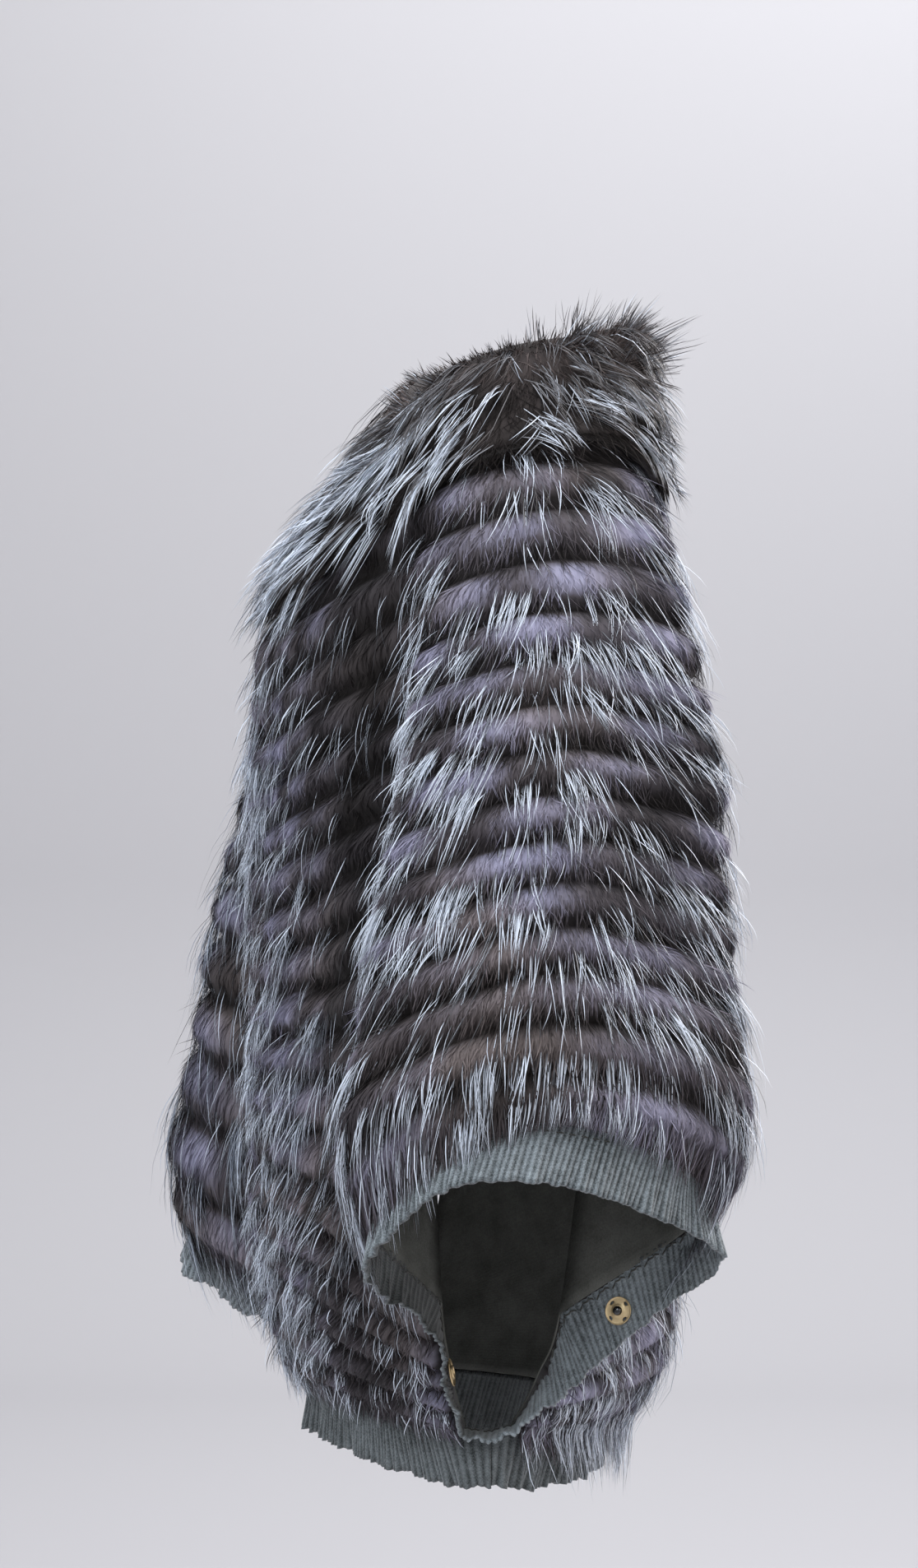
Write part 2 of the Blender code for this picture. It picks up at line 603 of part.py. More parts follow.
def hem_band(name, which):
    """The front or back of the hem band: along is -1 to 1 from the right side seam to the left one."""
    count = HEM_RIBS_EACH * 2 + 1
    along = np.linspace(-1.0, 1.0, count)
    roots, ends, ways = [], [], []
    middle = (0.0, HEM_FRONT_Y, HEM_FRONT_Z) if which == "front" else (0.0, HEM_BACK_Y, HEM_BACK_Z)
    last = np.array([float(BODY_STRIPS)])
    columns = np.linspace(0.0, 1.0, BODY_COLUMNS_HALF + 1)
    rims = {}
    for side in (LEFT, RIGHT):
        def inner_at(rows, side=side):
            return body_inner(side, which, columns, rows)

        rim = inner_at(last)[0]
        out = outward(inner_at, body_way(which, columns, last), last)[0]
        run = inner_at(last)[0] - inner_at(last - 0.1)[0]
        rims[side] = rim, out, run / np.linalg.norm(run, axis=1, keepdims=True)
    for place in along:
        side = LEFT if place >= 0 else RIGHT
        share = abs(place)
        root, way, beyond = (
            np.array([np.interp(min(share, HEM_LEAVES), columns, item[:, axis]) for axis in range(3)])
            for item in rims[side]
        )
        root = root + beyond * SEAM_GAP * 1.5 + way * 0.0010
        if share > HEM_LEAVES:
            leave = (share - HEM_LEAVES) / (1.0 - HEM_LEAVES)
            root = root + (np.array(HEM_SIDE_ROOT) - root) * leave
            way = way * (1.0 - leave) + np.array([1.0, 0.0, 0.0]) * leave
        end = np.array(
            [
                HEM_SIDE[0] * share,
                middle[1] + (HEM_SIDE[1] - middle[1]) * share**EDGE_POWER,
                middle[2] + (HEM_SIDE[2] - middle[2]) * share**2,
            ]
        )
        roots.append(mirrored(root, side))
        ends.append(mirrored(end, side))
        ways.append(mirrored(way / np.linalg.norm(way), side))
    roots, ends, ways = np.array(roots), np.array(ends), np.array(ways)
    inner = np.array([roots + (ends - roots) * share for share in (0.0, 0.5, 1.0)])
    towards = -1.0 if which == "front" else 1.0
    for edge in (0, -1):
        inner[:, edge, 1] += towards * SEAM_GAP / 2
    level = ways * np.array([1.0, 1.0, 0.0])
    level /= np.linalg.norm(level, axis=1, keepdims=True)
    outer = ribbed(inner, np.array([ways, level, level]))
    wall(name, inner[:, ::2], outer, "rib")


def fastener_place(side, along):
    """A fastener's seat on the inside of an opening's band: its middle and the way it faces."""
    near = along + np.linspace(-0.06, 0.06, 9)
    rows, ways = cuff_grids(side, near)
    seam_row, edge_row = rows[0], rows[2]
    surface = seam_row[None] + (edge_row - seam_row)[None] * np.linspace(0.1, 0.9, 9)[:, None, None]
    middle = seam_row[4] + (edge_row[4] - seam_row[4]) * FASTENER_ACROSS
    run = edge_row[5] - edge_row[3]
    facing = np.cross(edge_row[4] - seam_row[4], run)
    facing /= np.linalg.norm(facing)
    facing *= -np.sign((facing * ways[1][4]).sum())
    offset = (surface.reshape(-1, 3) - middle) @ facing
    close = np.linalg.norm(surface.reshape(-1, 3) - middle, axis=1) < STUD_RADIUS * 1.8
    seat = max(0.0, offset[close].max()) + SEAM_GAP * 2
    return mirrored(middle + facing * seat, side), mirrored(facing, side)


def turned(name, profile, place, facing):
    """A turned metal piece: radius and height pairs carried round its axis, then set on the band."""
    mesh = bmesh.new()
    verts = [mesh.verts.new((radius, 0.0, height)) for radius, height in profile]
    edges = [mesh.edges.new(pair) for pair in zip(verts[:-1], verts[1:])]
    bmesh.ops.spin(
        mesh, geom=verts + edges, cent=(0, 0, 0), axis=(0, 0, 1), angle=2 * np.pi, steps=20, use_merge=True
    )
    bmesh.ops.remove_doubles(mesh, verts=mesh.verts, dist=1e-6)
    face_outwards(mesh)
    axis = np.asarray(facing, float)
    side_way = np.cross(axis, (0.0, 0.0, 1.0))
    side_way /= np.linalg.norm(side_way)
    turn = np.stack([side_way, np.cross(axis, side_way), axis], axis=1)
    for vert in mesh.verts:
        vert.co = turn @ np.array(vert.co) + place
    add_object(name, mesh, "metal")


def press_stud(name, place, facing):
    rim = STUD_RADIUS
    profile = (
        (0.0, 0.0),
        (rim, 0.0),
        (rim, STUD_PLATE),
        (STUD_BALL * 0.80, STUD_PLATE),
        (STUD_BALL, STUD_HEIGHT * 0.70),
        (STUD_BALL * 0.60, STUD_HEIGHT),
        (0.0, STUD_HEIGHT),
    )
    turned(name, profile, place, facing)


def press_socket(name, place, facing):
    rim = SOCKET_RADIUS
    hole = STUD_BALL * 1.08
    profile = (
        (0.0, 0.0),
        (rim, 0.0),
        (rim, STUD_PLATE),
        (hole + 0.0022, SOCKET_HEIGHT),
        (hole, SOCKET_HEIGHT),
        (hole, STUD_PLATE),
        (0.0, STUD_PLATE),
    )
    turned(name, profile, place, facing)


def main():
    for thing in list(bpy.data.objects):
        bpy.data.objects.remove(thing)
    group = bpy.data.collections.new(NAME)
    bpy.context.scene.collection.children.link(group)

    fur_panel("front_panel", lambda strip: body_walls("front", strip), BODY_STRIPS)
    fur_panel("back_panel", lambda strip: body_walls("back", strip), BODY_STRIPS)
    collar()
    hem_band("hem_band_front", "front")
    hem_band("hem_band_back", "back")
    for side, word in ((LEFT, "left"), (RIGHT, "right")):
        fur_panel(f"sleeve_{word}", lambda strip, side=side: sleeve_walls(side, strip), SLEEVE_STRIPS)
        cuff_band(f"cuff_band_{word}", side)
        press_stud(f"press_stud_{word}", *fastener_place(side, STUD_ALONG))
        press_socket(f"press_socket_{word}", *fastener_place(side, SOCKET_ALONG))


main()
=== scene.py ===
from collections import namedtuple
from functools import cache

import bpy
import numpy as np
from bpy.props import FloatProperty, FloatVectorProperty, IntProperty, PointerProperty
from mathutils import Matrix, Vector


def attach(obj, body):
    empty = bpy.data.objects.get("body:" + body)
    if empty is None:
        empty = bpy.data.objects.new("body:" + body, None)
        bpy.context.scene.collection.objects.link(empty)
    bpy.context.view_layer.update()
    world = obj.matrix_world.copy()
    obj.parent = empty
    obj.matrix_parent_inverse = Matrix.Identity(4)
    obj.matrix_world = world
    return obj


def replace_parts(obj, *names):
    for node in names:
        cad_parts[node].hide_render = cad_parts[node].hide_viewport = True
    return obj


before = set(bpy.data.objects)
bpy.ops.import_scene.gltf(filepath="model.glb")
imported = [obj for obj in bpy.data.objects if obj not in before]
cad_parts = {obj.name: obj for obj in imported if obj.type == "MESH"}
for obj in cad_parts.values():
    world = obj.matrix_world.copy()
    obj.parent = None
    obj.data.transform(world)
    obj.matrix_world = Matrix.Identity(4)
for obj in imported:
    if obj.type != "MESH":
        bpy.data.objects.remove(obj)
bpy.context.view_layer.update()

bl_info = {
    "name": "Silver Fox Poncho Coat",
    "version": (1, 0, 0),
    "blender": (4, 5, 0),
    "location": "3D View > Sidebar > Fur Coat",
    "description": "Dresses the coat's panels with knit, underfur and guard hair, and its bands with ribs",
    "category": "Object",
}

TAU = 2.0 * np.pi
UP = np.array([0.0, 0.0, 1.0])
LEVEL = np.array([1.0, 1.0, 0.0])  # a vector times this loses its height

# ---- The coat's form: the same sections as the solids.

BODY_STRIPS = 21
SLEEVE_STRIPS = 16
BODY_COLUMNS_HALF = 7
SLEEVE_COLUMNS = 12
EDGE_POWER = 2.6

FUR_GROOVE = 0.010
FUR_RIDGE = 0.023
FUR_UNDER_COLLAR = 0.008
FUR_RIM = 0.009
RIM_STRIPS = 0.6

BodyRow = namedtuple(
    "BodyRow", "strip front_y front_z fseam_x fseam_y fseam_z back_y back_z bseam_x bseam_y bseam_z"
)
BODY = [BodyRow(*row) for row in (
    (0.0, -0.062, -0.030, 0.058, -0.045, -0.015, 0.066, 0.012, 0.058, 0.045, 0.004),
    (1.5, -0.112, -0.085, 0.095, -0.068, -0.060, 0.096, -0.050, 0.098, 0.070, -0.042),
    (3.0, -0.159, -0.175, 0.124, -0.078, -0.120, 0.112, -0.128, 0.130, 0.080, -0.105),
    (5.0, -0.168, -0.256, 0.147, -0.082, -0.200, 0.114, -0.215, 0.150, 0.078, -0.195),
    (8.0, -0.168, -0.356, 0.163, -0.084, -0.308, 0.114, -0.325, 0.166, 0.066, -0.305),
    (11.0, -0.167, -0.457, 0.176, -0.088, -0.425, 0.112, -0.435, 0.180, 0.048, -0.420),
    (13.0, -0.166, -0.523, 0.184, -0.089, -0.515, 0.112, -0.505, 0.190, 0.030, -0.510),
    (16.0, -0.163, -0.624, 0.197, -0.086, -0.680, 0.117, -0.610, 0.208, 0.000, -0.690),
    (18.5, -0.153, -0.690, 0.188, -0.076, -0.735, 0.119, -0.700, 0.192, -0.012, -0.735),
    (20.0, -0.145, -0.731, 0.180, -0.069, -0.758, 0.106, -0.752, 0.183, -0.020, -0.757),
    (21.0, -0.137, -0.757, 0.172, -0.062, -0.776, 0.084, -0.779, 0.175, -0.028, -0.774),
)]

SleeveRow = namedtuple(
    "SleeveRow", "strip front_x front_y front_z arm_x arm_y arm_z back_x back_y back_z"
)
SLEEVE = [SleeveRow(*row) for row in (
    (0.0, 0.071, -0.026, -0.009, 0.078, 0.000, -0.004, 0.071, 0.026, -0.001),
    (1.5, 0.112, -0.046, -0.046, 0.122, 0.000, -0.038, 0.113, 0.047, -0.037),
    (3.0, 0.146, -0.056, -0.104, 0.155, 0.004, -0.090, 0.152, 0.070, -0.094),
    (5.0, 0.184, -0.072, -0.187, 0.196, 0.002, -0.168, 0.186, 0.088, -0.178),
    (8.0, 0.222, -0.101, -0.293, 0.247, -0.006, -0.271, 0.222, 0.101, -0.288),
    (11.0, 0.245, -0.127, -0.402, 0.283, -0.014, -0.367, 0.245, 0.103, -0.393),
    (13.0, 0.256, -0.143, -0.476, 0.303, -0.022, -0.4325, 0.260, 0.105, -0.466),
    (15.0, 0.268, -0.160, -0.560, 0.322, -0.037, -0.503, 0.280, 0.107, -0.552),
    (16.0, 0.275, -0.152, -0.607, 0.3295, -0.045, -0.538, 0.292, 0.090, -0.598),
)]

SLEEVE_LINES_AT = (0.0, 0.25, 0.5, 0.75, 1.0)  # front seam, front fold, arm's top, back fold, back seam
FRONT_MIDDLE_WAY, BACK_MIDDLE_WAY = -90.0, 90.0
SLEEVE_WAYS = (-90.0, -62.0, 0.0, 62.0, 90.0)
FRONT_EDGE_WAY, BACK_EDGE_WAY = -45.0, 30.0
EDGE_TURNS_FROM, EDGE_TURNS_TO = 16.0, 18.5

Fold = namedtuple("Fold", "panel across first last depth width")
FOLDS = [
    Fold("sleeve", 0.62, 5.0, 15.0, 0.013, 0.080),
    Fold("sleeve", 0.38, 9.0, 16.0, 0.006, 0.070),
    Fold("front", 0.55, 8.0, 18.0, 0.010, 0.140),
    Fold("back", 0.50, 8.0, 18.0, 0.009, 0.150),
]
FOLD_EASE = 3.0  # strips in which a fold deepens and ends

EdgePoint = namedtuple("EdgePoint", "along x y z")
FREE_EDGE = [EdgePoint(*row) for row in (  # a cuff band's free edge, along as round the opening
    (0.00, 0.200, -0.072, -0.780),
    (0.50, 0.225, -0.090, -0.727),
    (1.00, 0.235, -0.103, -0.692),
    (1.25, 0.258, -0.138, -0.669),
    (1.50, 0.286, -0.161, -0.644),
    (1.75, 0.327, -0.120, -0.589),
    (2.00, 0.350, -0.062, -0.578),
    (2.25, 0.336, 0.017, -0.5975),
    (2.50, 0.290, 0.102, -0.642),
    (2.75, 0.264, 0.064, -0.681),
    (3.00, 0.235, 0.016, -0.729),
    (3.50, 0.215, -0.013, -0.758),
    (4.00, 0.203, -0.036, -0.776),
    (4.50, 0.197, -0.055, -0.783),
)]
ALONG_END = 5.0
SIDE_SEAM_ROOT = (0.171, -0.045, -0.779)

CollarRow = namedtuple("CollarRow", "around reach stand lean")
COLLAR = [CollarRow(*row) for row in (
    (0.0, 2.75, 0.030, -0.016),
    (0.5, 2.60, 0.033, -0.012),
    (1.0, 2.15, 0.041, 0.000),
    (1.5, 1.70, 0.051, 0.012),
    (2.0, 1.60, 0.056, 0.020),
    (3.0, 1.70, 0.056, 0.024),
)]
COLLAR_EASE = 0.35
COLLAR_FUR = 0.027
COLLAR_LIP = 0.011
COLLAR_ROLL = 0.040
COLLAR_FLAT_TO = (0.5, 1.4)  # round the neck, where the front's flatter lie ends
COLLAR_FLAT_ROLL = 0.45
COLLAR_FLAT_BELLY = 0.50

HEM_FRONT_Y, HEM_FRONT_Z = -0.141, -0.800
HEM_BACK_Y, HEM_BACK_Z = 0.074, -0.824
HEM_SIDE = (0.182, -0.046, -0.828)
HEM_SIDE_ROOT = (0.178, -0.045, -0.7850)
HEM_LEAVES = 0.92
HEM_TUCK = 0.008  # how far the side seam draws the hem up

BAND_WALL = 0.0036
SEAM_GAP = 0.0003
CUFF_RIBS = 56
HEM_RIBS_EACH = 40

Side = namedtuple("Side", "sign drop forward")
LEFT = Side(1.0, 0.0, 0.0)
RIGHT = Side(-1.0, 0.055, 0.036)
SWING_FROM, SWING_TO = 8.0, 16.0
FORWARD_FROM, FORWARD_TO = 1.5, 9.0
SEAM_SWING = {"front": 0.9, "back": 0.25}  # shares of a side's hang that its seams take
LINE_SWING = {"front": 1.0, "arm": 0.45, "back": 0.25}  # the same for a sleeve's lines between them


def grown(pair, share):
    """A pair's first number plus its second times a share."""
    return pair[0] + pair[1] * share


def smooth_step(value, low, high):
    """0 below low, 1 above high and 3t^2 - 2t^3 of the share between them."""
    share = np.clip((np.asarray(value, float) - low) / (high - low), 0.0, 1.0)
    return share * share * (3.0 - 2.0 * share)


def through(knots, values, at):
    """A cubic curve through values at knots: Hermite pieces whose slopes are those of parabolas."""
    knots, values, at = (np.asarray(item, float) for item in (knots, values, at))
    step = np.diff(knots)
    shape = (-1,) + (1,) * (values.ndim - 1)
    chord = np.diff(values, axis=0) / step.reshape(shape)
    slope = np.empty_like(values)
    before, after = step[:-1].reshape(shape), step[1:].reshape(shape)
    slope[1:-1] = (chord[:-1] * after + chord[1:] * before) / (before + after)
    slope[0], slope[-1] = chord[0], chord[-1]
    cell = np.clip(np.searchsorted(knots, at, side="right") - 1, 0, len(step) - 1)
    width = step[cell]
    share = (at - knots[cell]) / width
    tail = at.shape + (1,) * (values.ndim - 1)
    share, width = share.reshape(tail), width.reshape(tail)
    square, cube = share**2, share**3
    return (
        (2 * cube - 3 * square + 1) * values[cell]
        + (cube - 2 * square + share) * width * slope[cell]
        + (3 * square - 2 * cube) * values[cell + 1]
        + (cube - square) * width * slope[cell + 1]
    )


def bell(value, middle, width):
    """A bell curve: 1 at its middle and 1/e a width away."""
    return np.exp(-(((value - middle) / width) ** 2))


def window(strip, first, last, outside, inside):
    """1 between first and last, eased from outside strips before either end to inside strips within it."""
    low = smooth_step(strip, first - outside, first + inside)
    return low * smooth_step(-strip, -last - outside, inside - last)


def curve(table, at, *names):
    """The cubic curves through a table's named columns, by its first column."""
    knots = [row[0] for row in table]
    return through(knots, [[getattr(row, name) for name in names] for row in table], at)


def xyz(name):
    """The three columns of a line's points."""
    return [f"{name}_{axis}" for axis in "xyz"]


def unit(vectors):
    """Vectors divided by their lengths."""
    return vectors / np.maximum(np.linalg.norm(vectors, axis=-1, keepdims=True), 1e-12)


def mirrored(points, side):
    """Points with x times the side's sign."""
    return points * np.array([side.sign, 1.0, 1.0])


def swing(side, strip, share):
    """A side's drop and step forward, which ease in over their strips, times share."""
    down = smooth_step(strip, SWING_FROM, SWING_TO) * share
    forward = smooth_step(strip, FORWARD_FROM, FORWARD_TO) * share
    return np.stack([np.zeros_like(down), -side.forward * forward, -side.drop * down], axis=-1)


def seam(side, strip, which):
    """The front or back seam's line by strip, with the side's hang, which fades out below the opening."""
    fade = 1.0 - smooth_step(strip, SWING_TO, BODY_STRIPS)
    return curve(BODY, strip, *xyz(f"{which[0]}seam")) + swing(side, strip, SEAM_SWING[which] * fade)


def fold_depth(panel, across, strip):
    """The sum of the panel's folds: depth times a bell curve across, eased in and out along the strips."""
    depth = np.zeros(np.broadcast(across, strip).shape)
    for fold in FOLDS:
        if fold.panel == panel:
            over = window(strip, fold.first, fold.last, 0.0, FOLD_EASE)
            depth = depth + fold.depth * over * bell(across, fold.across, fold.width)
    return depth


def body_inner(side, which, across, strip):
    """A body half: x grows evenly to the seam, y with across to EDGE_POWER and z with its square."""
    across, strip = np.meshgrid(across, strip)
    middle = curve(BODY, strip, f"{which}_y", f"{which}_z")
    edge = seam(side, strip, which)
    points = np.empty(across.shape + (3,))
    points[..., 0] = edge[..., 0] * across
    points[..., 1] = middle[..., 0] + (edge[..., 1] - middle[..., 0]) * across**EDGE_POWER
    points[..., 2] = middle[..., 1] + (edge[..., 2] - middle[..., 1]) * across**2
    points[..., 1] += (1.0 if which == "front" else -1.0) * fold_depth(which, across, strip)
    return points


def body_way(which, across, strip):
    """Degrees in which the fur stands: from the middle's to the seam's or edge's with across squared."""
    across, strip = np.meshgrid(across, strip)
    middle = FRONT_MIDDLE_WAY if which == "front" else BACK_MIDDLE_WAY
    seam_way = SLEEVE_WAYS[0] if which == "front" else SLEEVE_WAYS[-1]
    edge_way = FRONT_EDGE_WAY if which == "front" else BACK_EDGE_WAY
    edge = seam_way + (edge_way - seam_way) * smooth_step(strip, EDGE_TURNS_FROM, EDGE_TURNS_TO)
    return middle + (edge - middle) * across**2


def sleeve_inner(side, across, strip):
    """A sleeve: a cubic across through the two seams, the front fold, the arm's top and the back fold."""
    lines = [seam(side, strip, "front")]
    for line, share in LINE_SWING.items():
        lines.append(curve(SLEEVE, strip, *xyz(line)) + swing(side, strip, share))
    lines.append(seam(side, strip, "back"))
    points = np.swapaxes(through(SLEEVE_LINES_AT, lines, across), 0, 1)
    ways = np.radians(through(SLEEVE_LINES_AT, SLEEVE_WAYS, across))
    depth = fold_depth("sleeve", *np.meshgrid(across, strip))
    points[..., 0] -= depth * np.cos(ways)
    points[..., 1] -= depth * np.sin(ways)
    return points


def sleeve_way(across, strip):
    """Degrees in which a sleeve's fur stands: a cubic across."""
    return np.broadcast_to(through(SLEEVE_LINES_AT, SLEEVE_WAYS, across), (len(strip), len(across)))


def outward(inner_at, ways, strip):
    """Unit directions square to the run from strip to strip, in the upright plane through each way."""
    step = 0.05
    run = inner_at(strip + step) - inner_at(strip - step)
    flat = np.stack([np.cos(np.radians(ways)), np.sin(np.radians(ways))], axis=-1)
    along = (run[..., :2] * flat).sum(-1)
    way = np.empty_like(run)
    way[..., :2] = -run[..., 2:] * flat
    way[..., 2] = along
    return unit(way)


def sections(side, panel, across):
    """A panel's inner points and outward ways, as two functions of strips, for fixed places across it."""

    def inner_at(strip):
        if panel == "sleeve":
            return sleeve_inner(side, across, strip)
        return body_inner(side, panel, across, strip)

    def way_at(strip):
        ways = sleeve_way(across, strip) if panel == "sleeve" else body_way(panel, across, strip)
        return outward(inner_at, ways, strip)

    return inner_at, way_at


def collar_reach(around):
    """Strips that the collar covers."""
    return curve(COLLAR, around, "reach")[..., 0]


# ---- Panels as dense fields that the knit, the underfur and the hair all read.

ROWS_A_STRIP = 8
BODY_COLUMNS = 88
SLEEVE_FINE_COLUMNS = 56
STRIP_PITCH = 0.037  # metres from strip to strip
OVERHANG = 1.6  # strips beyond a panel's last row, for hair that hangs past it
OVERHANG_FALL = {"front": 0.4, "back": 0.4, "sleeve": 0.0}  # how far it turns straight down
WANDER_GAIN = 1.6  # brings a sum of sines to a height near 1

Field = namedtuple("Field", "name strips around base way extent")


def waves(seed, count, lowest, highest):
    """Random sines: frequency, phase and share for each, shares adding up to one."""
    random = np.random.default_rng(seed)
    frequency = random.uniform(lowest, highest, count)
    phase = random.uniform(0.0, TAU, count)
    share = random.uniform(0.5, 1.0, count)
    return frequency, phase, share / share.sum()


def wander(seed, place, row, lowest=2.0, highest=7.0, count=5):
    """Smooth noise from about -1 to 1 along place, another line of it for each whole row.

    It is a sum of sines, each shifted on from row to row by a step of its own.
    """
    total = np.zeros(np.broadcast(place, row).shape)
    for frequency, phase, share in zip(*waves(seed, count, lowest, highest)):
        row_step = phase * 7.3 + 2.1
        total = total + share * np.sin(frequency * place * TAU / 3.0 + phase + row * row_step)
    return total * WANDER_GAIN


def hang_on(base, rows, fall_share):
    """Rows past a panel's end: its last run from row to row goes on, turned straight down by a share."""
    run = (base[-1] - base[-1 - ROWS_A_STRIP // 2]) / (ROWS_A_STRIP // 2)
    length = np.linalg.norm(run, axis=-1, keepdims=True)
    fall = unit(run * (1.0 - fall_share) + np.array([0.0, 0.0, -1.0]) * length * fall_share) * length
    more = base[-1] + fall * np.arange(1, rows + 1)[:, None, None]
    return np.concatenate([base, more])


def panel_field(name, panel, side=None):
    """Base points and outward ways of a whole panel, ROWS_A_STRIP rows a strip, with the overhang's rows."""
    last = SLEEVE_STRIPS if panel == "sleeve" else BODY_STRIPS
    strip = np.linspace(0.0, last, last * ROWS_A_STRIP + 1)
    if panel == "sleeve":
        across = np.linspace(0.0, 1.0, SLEEVE_FINE_COLUMNS + 1)
        parts, around = [(side, across)], 1.0 + across
    else:
        half = np.linspace(0.0, 1.0, BODY_COLUMNS // 2 + 1)
        parts = [(RIGHT, half[:0:-1]), (LEFT, half)]
        around = np.concatenate([half[:0:-1], half])
        around = around if panel == "front" else 3.0 - around
    found = []
    for part, across in parts:
        inner_at, way_at = sections(part, panel, across)
        found.append((mirrored(inner_at(strip), part), mirrored(way_at(strip), part)))
    base, way = (np.concatenate(grids, axis=1) for grids in zip(*found))
    extra = int(OVERHANG * ROWS_A_STRIP)
    base = hang_on(base, extra, OVERHANG_FALL[panel])
    way = np.concatenate([way, np.repeat(way[-1:], extra, axis=0)])
    extent = np.linalg.norm(np.diff(base, axis=1), axis=-1).sum(1)
    return Field(name, last, around, base, way, extent)


UNEVEN_RIDGE = 0.16  # share by which a ridge's fullness varies
RIDGE_SEED, BAND_SEED, PATCH_SEED, WIDE_PATCH_SEED = 11, 27, 21, 22


def ridge(phase):
    """A strip's rounded section: sine of pi times phase to 1.25, to the power 0.75."""
    return np.sin(np.pi * np.clip(phase, 0.0, 1.0) ** 1.25) ** 0.75


def pile_height(strip, around, last, sink=0.0):
    """The fur's height over the base: one uneven ridge a strip, lower under the collar and at rims."""
    row = np.floor(np.minimum(strip, last - 1e-6))
    phase = strip - row
    full = 1.0 + UNEVEN_RIDGE * wander(RIDGE_SEED, around, row) * np.sin(np.pi * np.clip(phase, 0, 1))
    height = FUR_GROOVE + (FUR_RIDGE - FUR_GROOVE) * ridge(phase) * full
    reach = collar_reach(around)
    free = smooth_step(strip, reach - COLLAR_EASE, reach + COLLAR_EASE)
    height = FUR_UNDER_COLLAR + (height - FUR_UNDER_COLLAR) * free
    rim = smooth_step(last - strip, 0.0, RIM_STRIPS)
    return FUR_RIM + (height - FUR_RIM) * np.where(free > 0, rim, 1.0) - sink


TONE_STOPS = (  # share of a strip's height from its upper groove, and how light the underfur is there: painted shade in the groove and along each ridge's lower side, where the fur is also darker of itself
    (0.00, 0.03), (0.06, 0.30), (0.15, 0.82), (0.28, 1.00), (0.56, 0.94), (0.74, 0.60), (0.87, 0.16),
    (0.95, 0.02), (1.00, 0.02),
)
PATCH_RANGE = (0.25, 1.15)
RIM_TONE = 0.32  # the last strip's end is at least this light
RIM_TONE_FROM, RIM_TONE_TO = 0.45, 0.15  # strips before the panel's end

Shade = namedtuple("Shade", "around width first last factor")
PAINTED_LIGHT_AND_SHADE = [  # upright areas of painted shade and painted light, partly also the pelt's own darker and lighter patches: shade in the valley beside the front's sleeve seam, in creases of the sleeve, low on the sleeve and the front and just under the collar; light on the front, on the sleeve's folds and along its back edge; around is 0 at the front middle, 3 at the back's
    Shade(0.85, 0.22, 2.0, 13.0, 0.12),
    Shade(0.40, 0.20, 5.0, 17.0, 1.30),
    Shade(1.18, 0.10, 5.0, 15.0, 1.35),
    Shade(1.40, 0.07, 8.0, 13.0, 1.30),
    Shade(1.58, 0.12, 7.0, 12.0, 0.62),
    Shade(1.88, 0.13, 3.0, 13.0, 1.45),
    Shade(1.60, 0.45, 13.0, 17.0, 0.86),
    Shade(1.30, 0.12, 11.5, 15.5, 0.70),
    Shade(0.72, 0.22, 15.0, 21.0, 0.34),
    Shade(1.75, 0.45, 0.5, 2.5, 0.42),
]
SHADE_EASE = 1.0  # strips before and after an area's ends in which it eases in


def shade(strip, around):
    """The product of the painted shade and light areas: each goes from 1 to its factor by a bell curve round,
    eased along the strips.
    """
    total = np.ones(np.broadcast(strip, around).shape)
    for item in PAINTED_LIGHT_AND_SHADE:
        over = window(strip, item.first, item.last, SHADE_EASE, SHADE_EASE)
        total = total * (1.0 + (item.factor - 1.0) * over * bell(around, item.around, item.width))
    return total


def pile_tone(strip, around, last):
    """How light the underfur is: a band on each strip with painted shade in its groove and along its lower
    side, lighter and darker patches along it, and the painted shade and light areas over it.
    """
    row = np.floor(np.minimum(strip, last - 1e-6))
    phase = strip - row + 0.05 * wander(BAND_SEED, around * 2.0, row)
    patch = 0.72 + 0.46 * wander(PATCH_SEED, around * 2.4, row)
    patch = patch + 0.24 * wander(WIDE_PATCH_SEED, around * 1.3, row * 0.13)
    tone = np.interp(phase, *np.array(TONE_STOPS).T) * (np.clip(patch, *PATCH_RANGE) * shade(strip, around))
    rim = RIM_TONE * smooth_step(strip, last - RIM_TONE_FROM, last - RIM_TONE_TO)
    return np.clip(np.maximum(tone, rim), 0.0, 1.25)


def sampled(grid, row, col):
    """Values of a grid between its points, by the four nearest, for arrays of places."""
    row = np.clip(row, 0.0, grid.shape[0] - 1.001)
    col = np.clip(col, 0.0, grid.shape[1] - 1.001)
    near, left = row.astype(int), col.astype(int)
    down, across = (row - near)[..., None], (col - left)[..., None]
    upper = grid[near, left] * (1 - across) + grid[near, left + 1] * across
    lower = grid[near + 1, left] * (1 - across) + grid[near + 1, left + 1] * across
    return upper * (1 - down) + lower * down


# ---- Meshes.


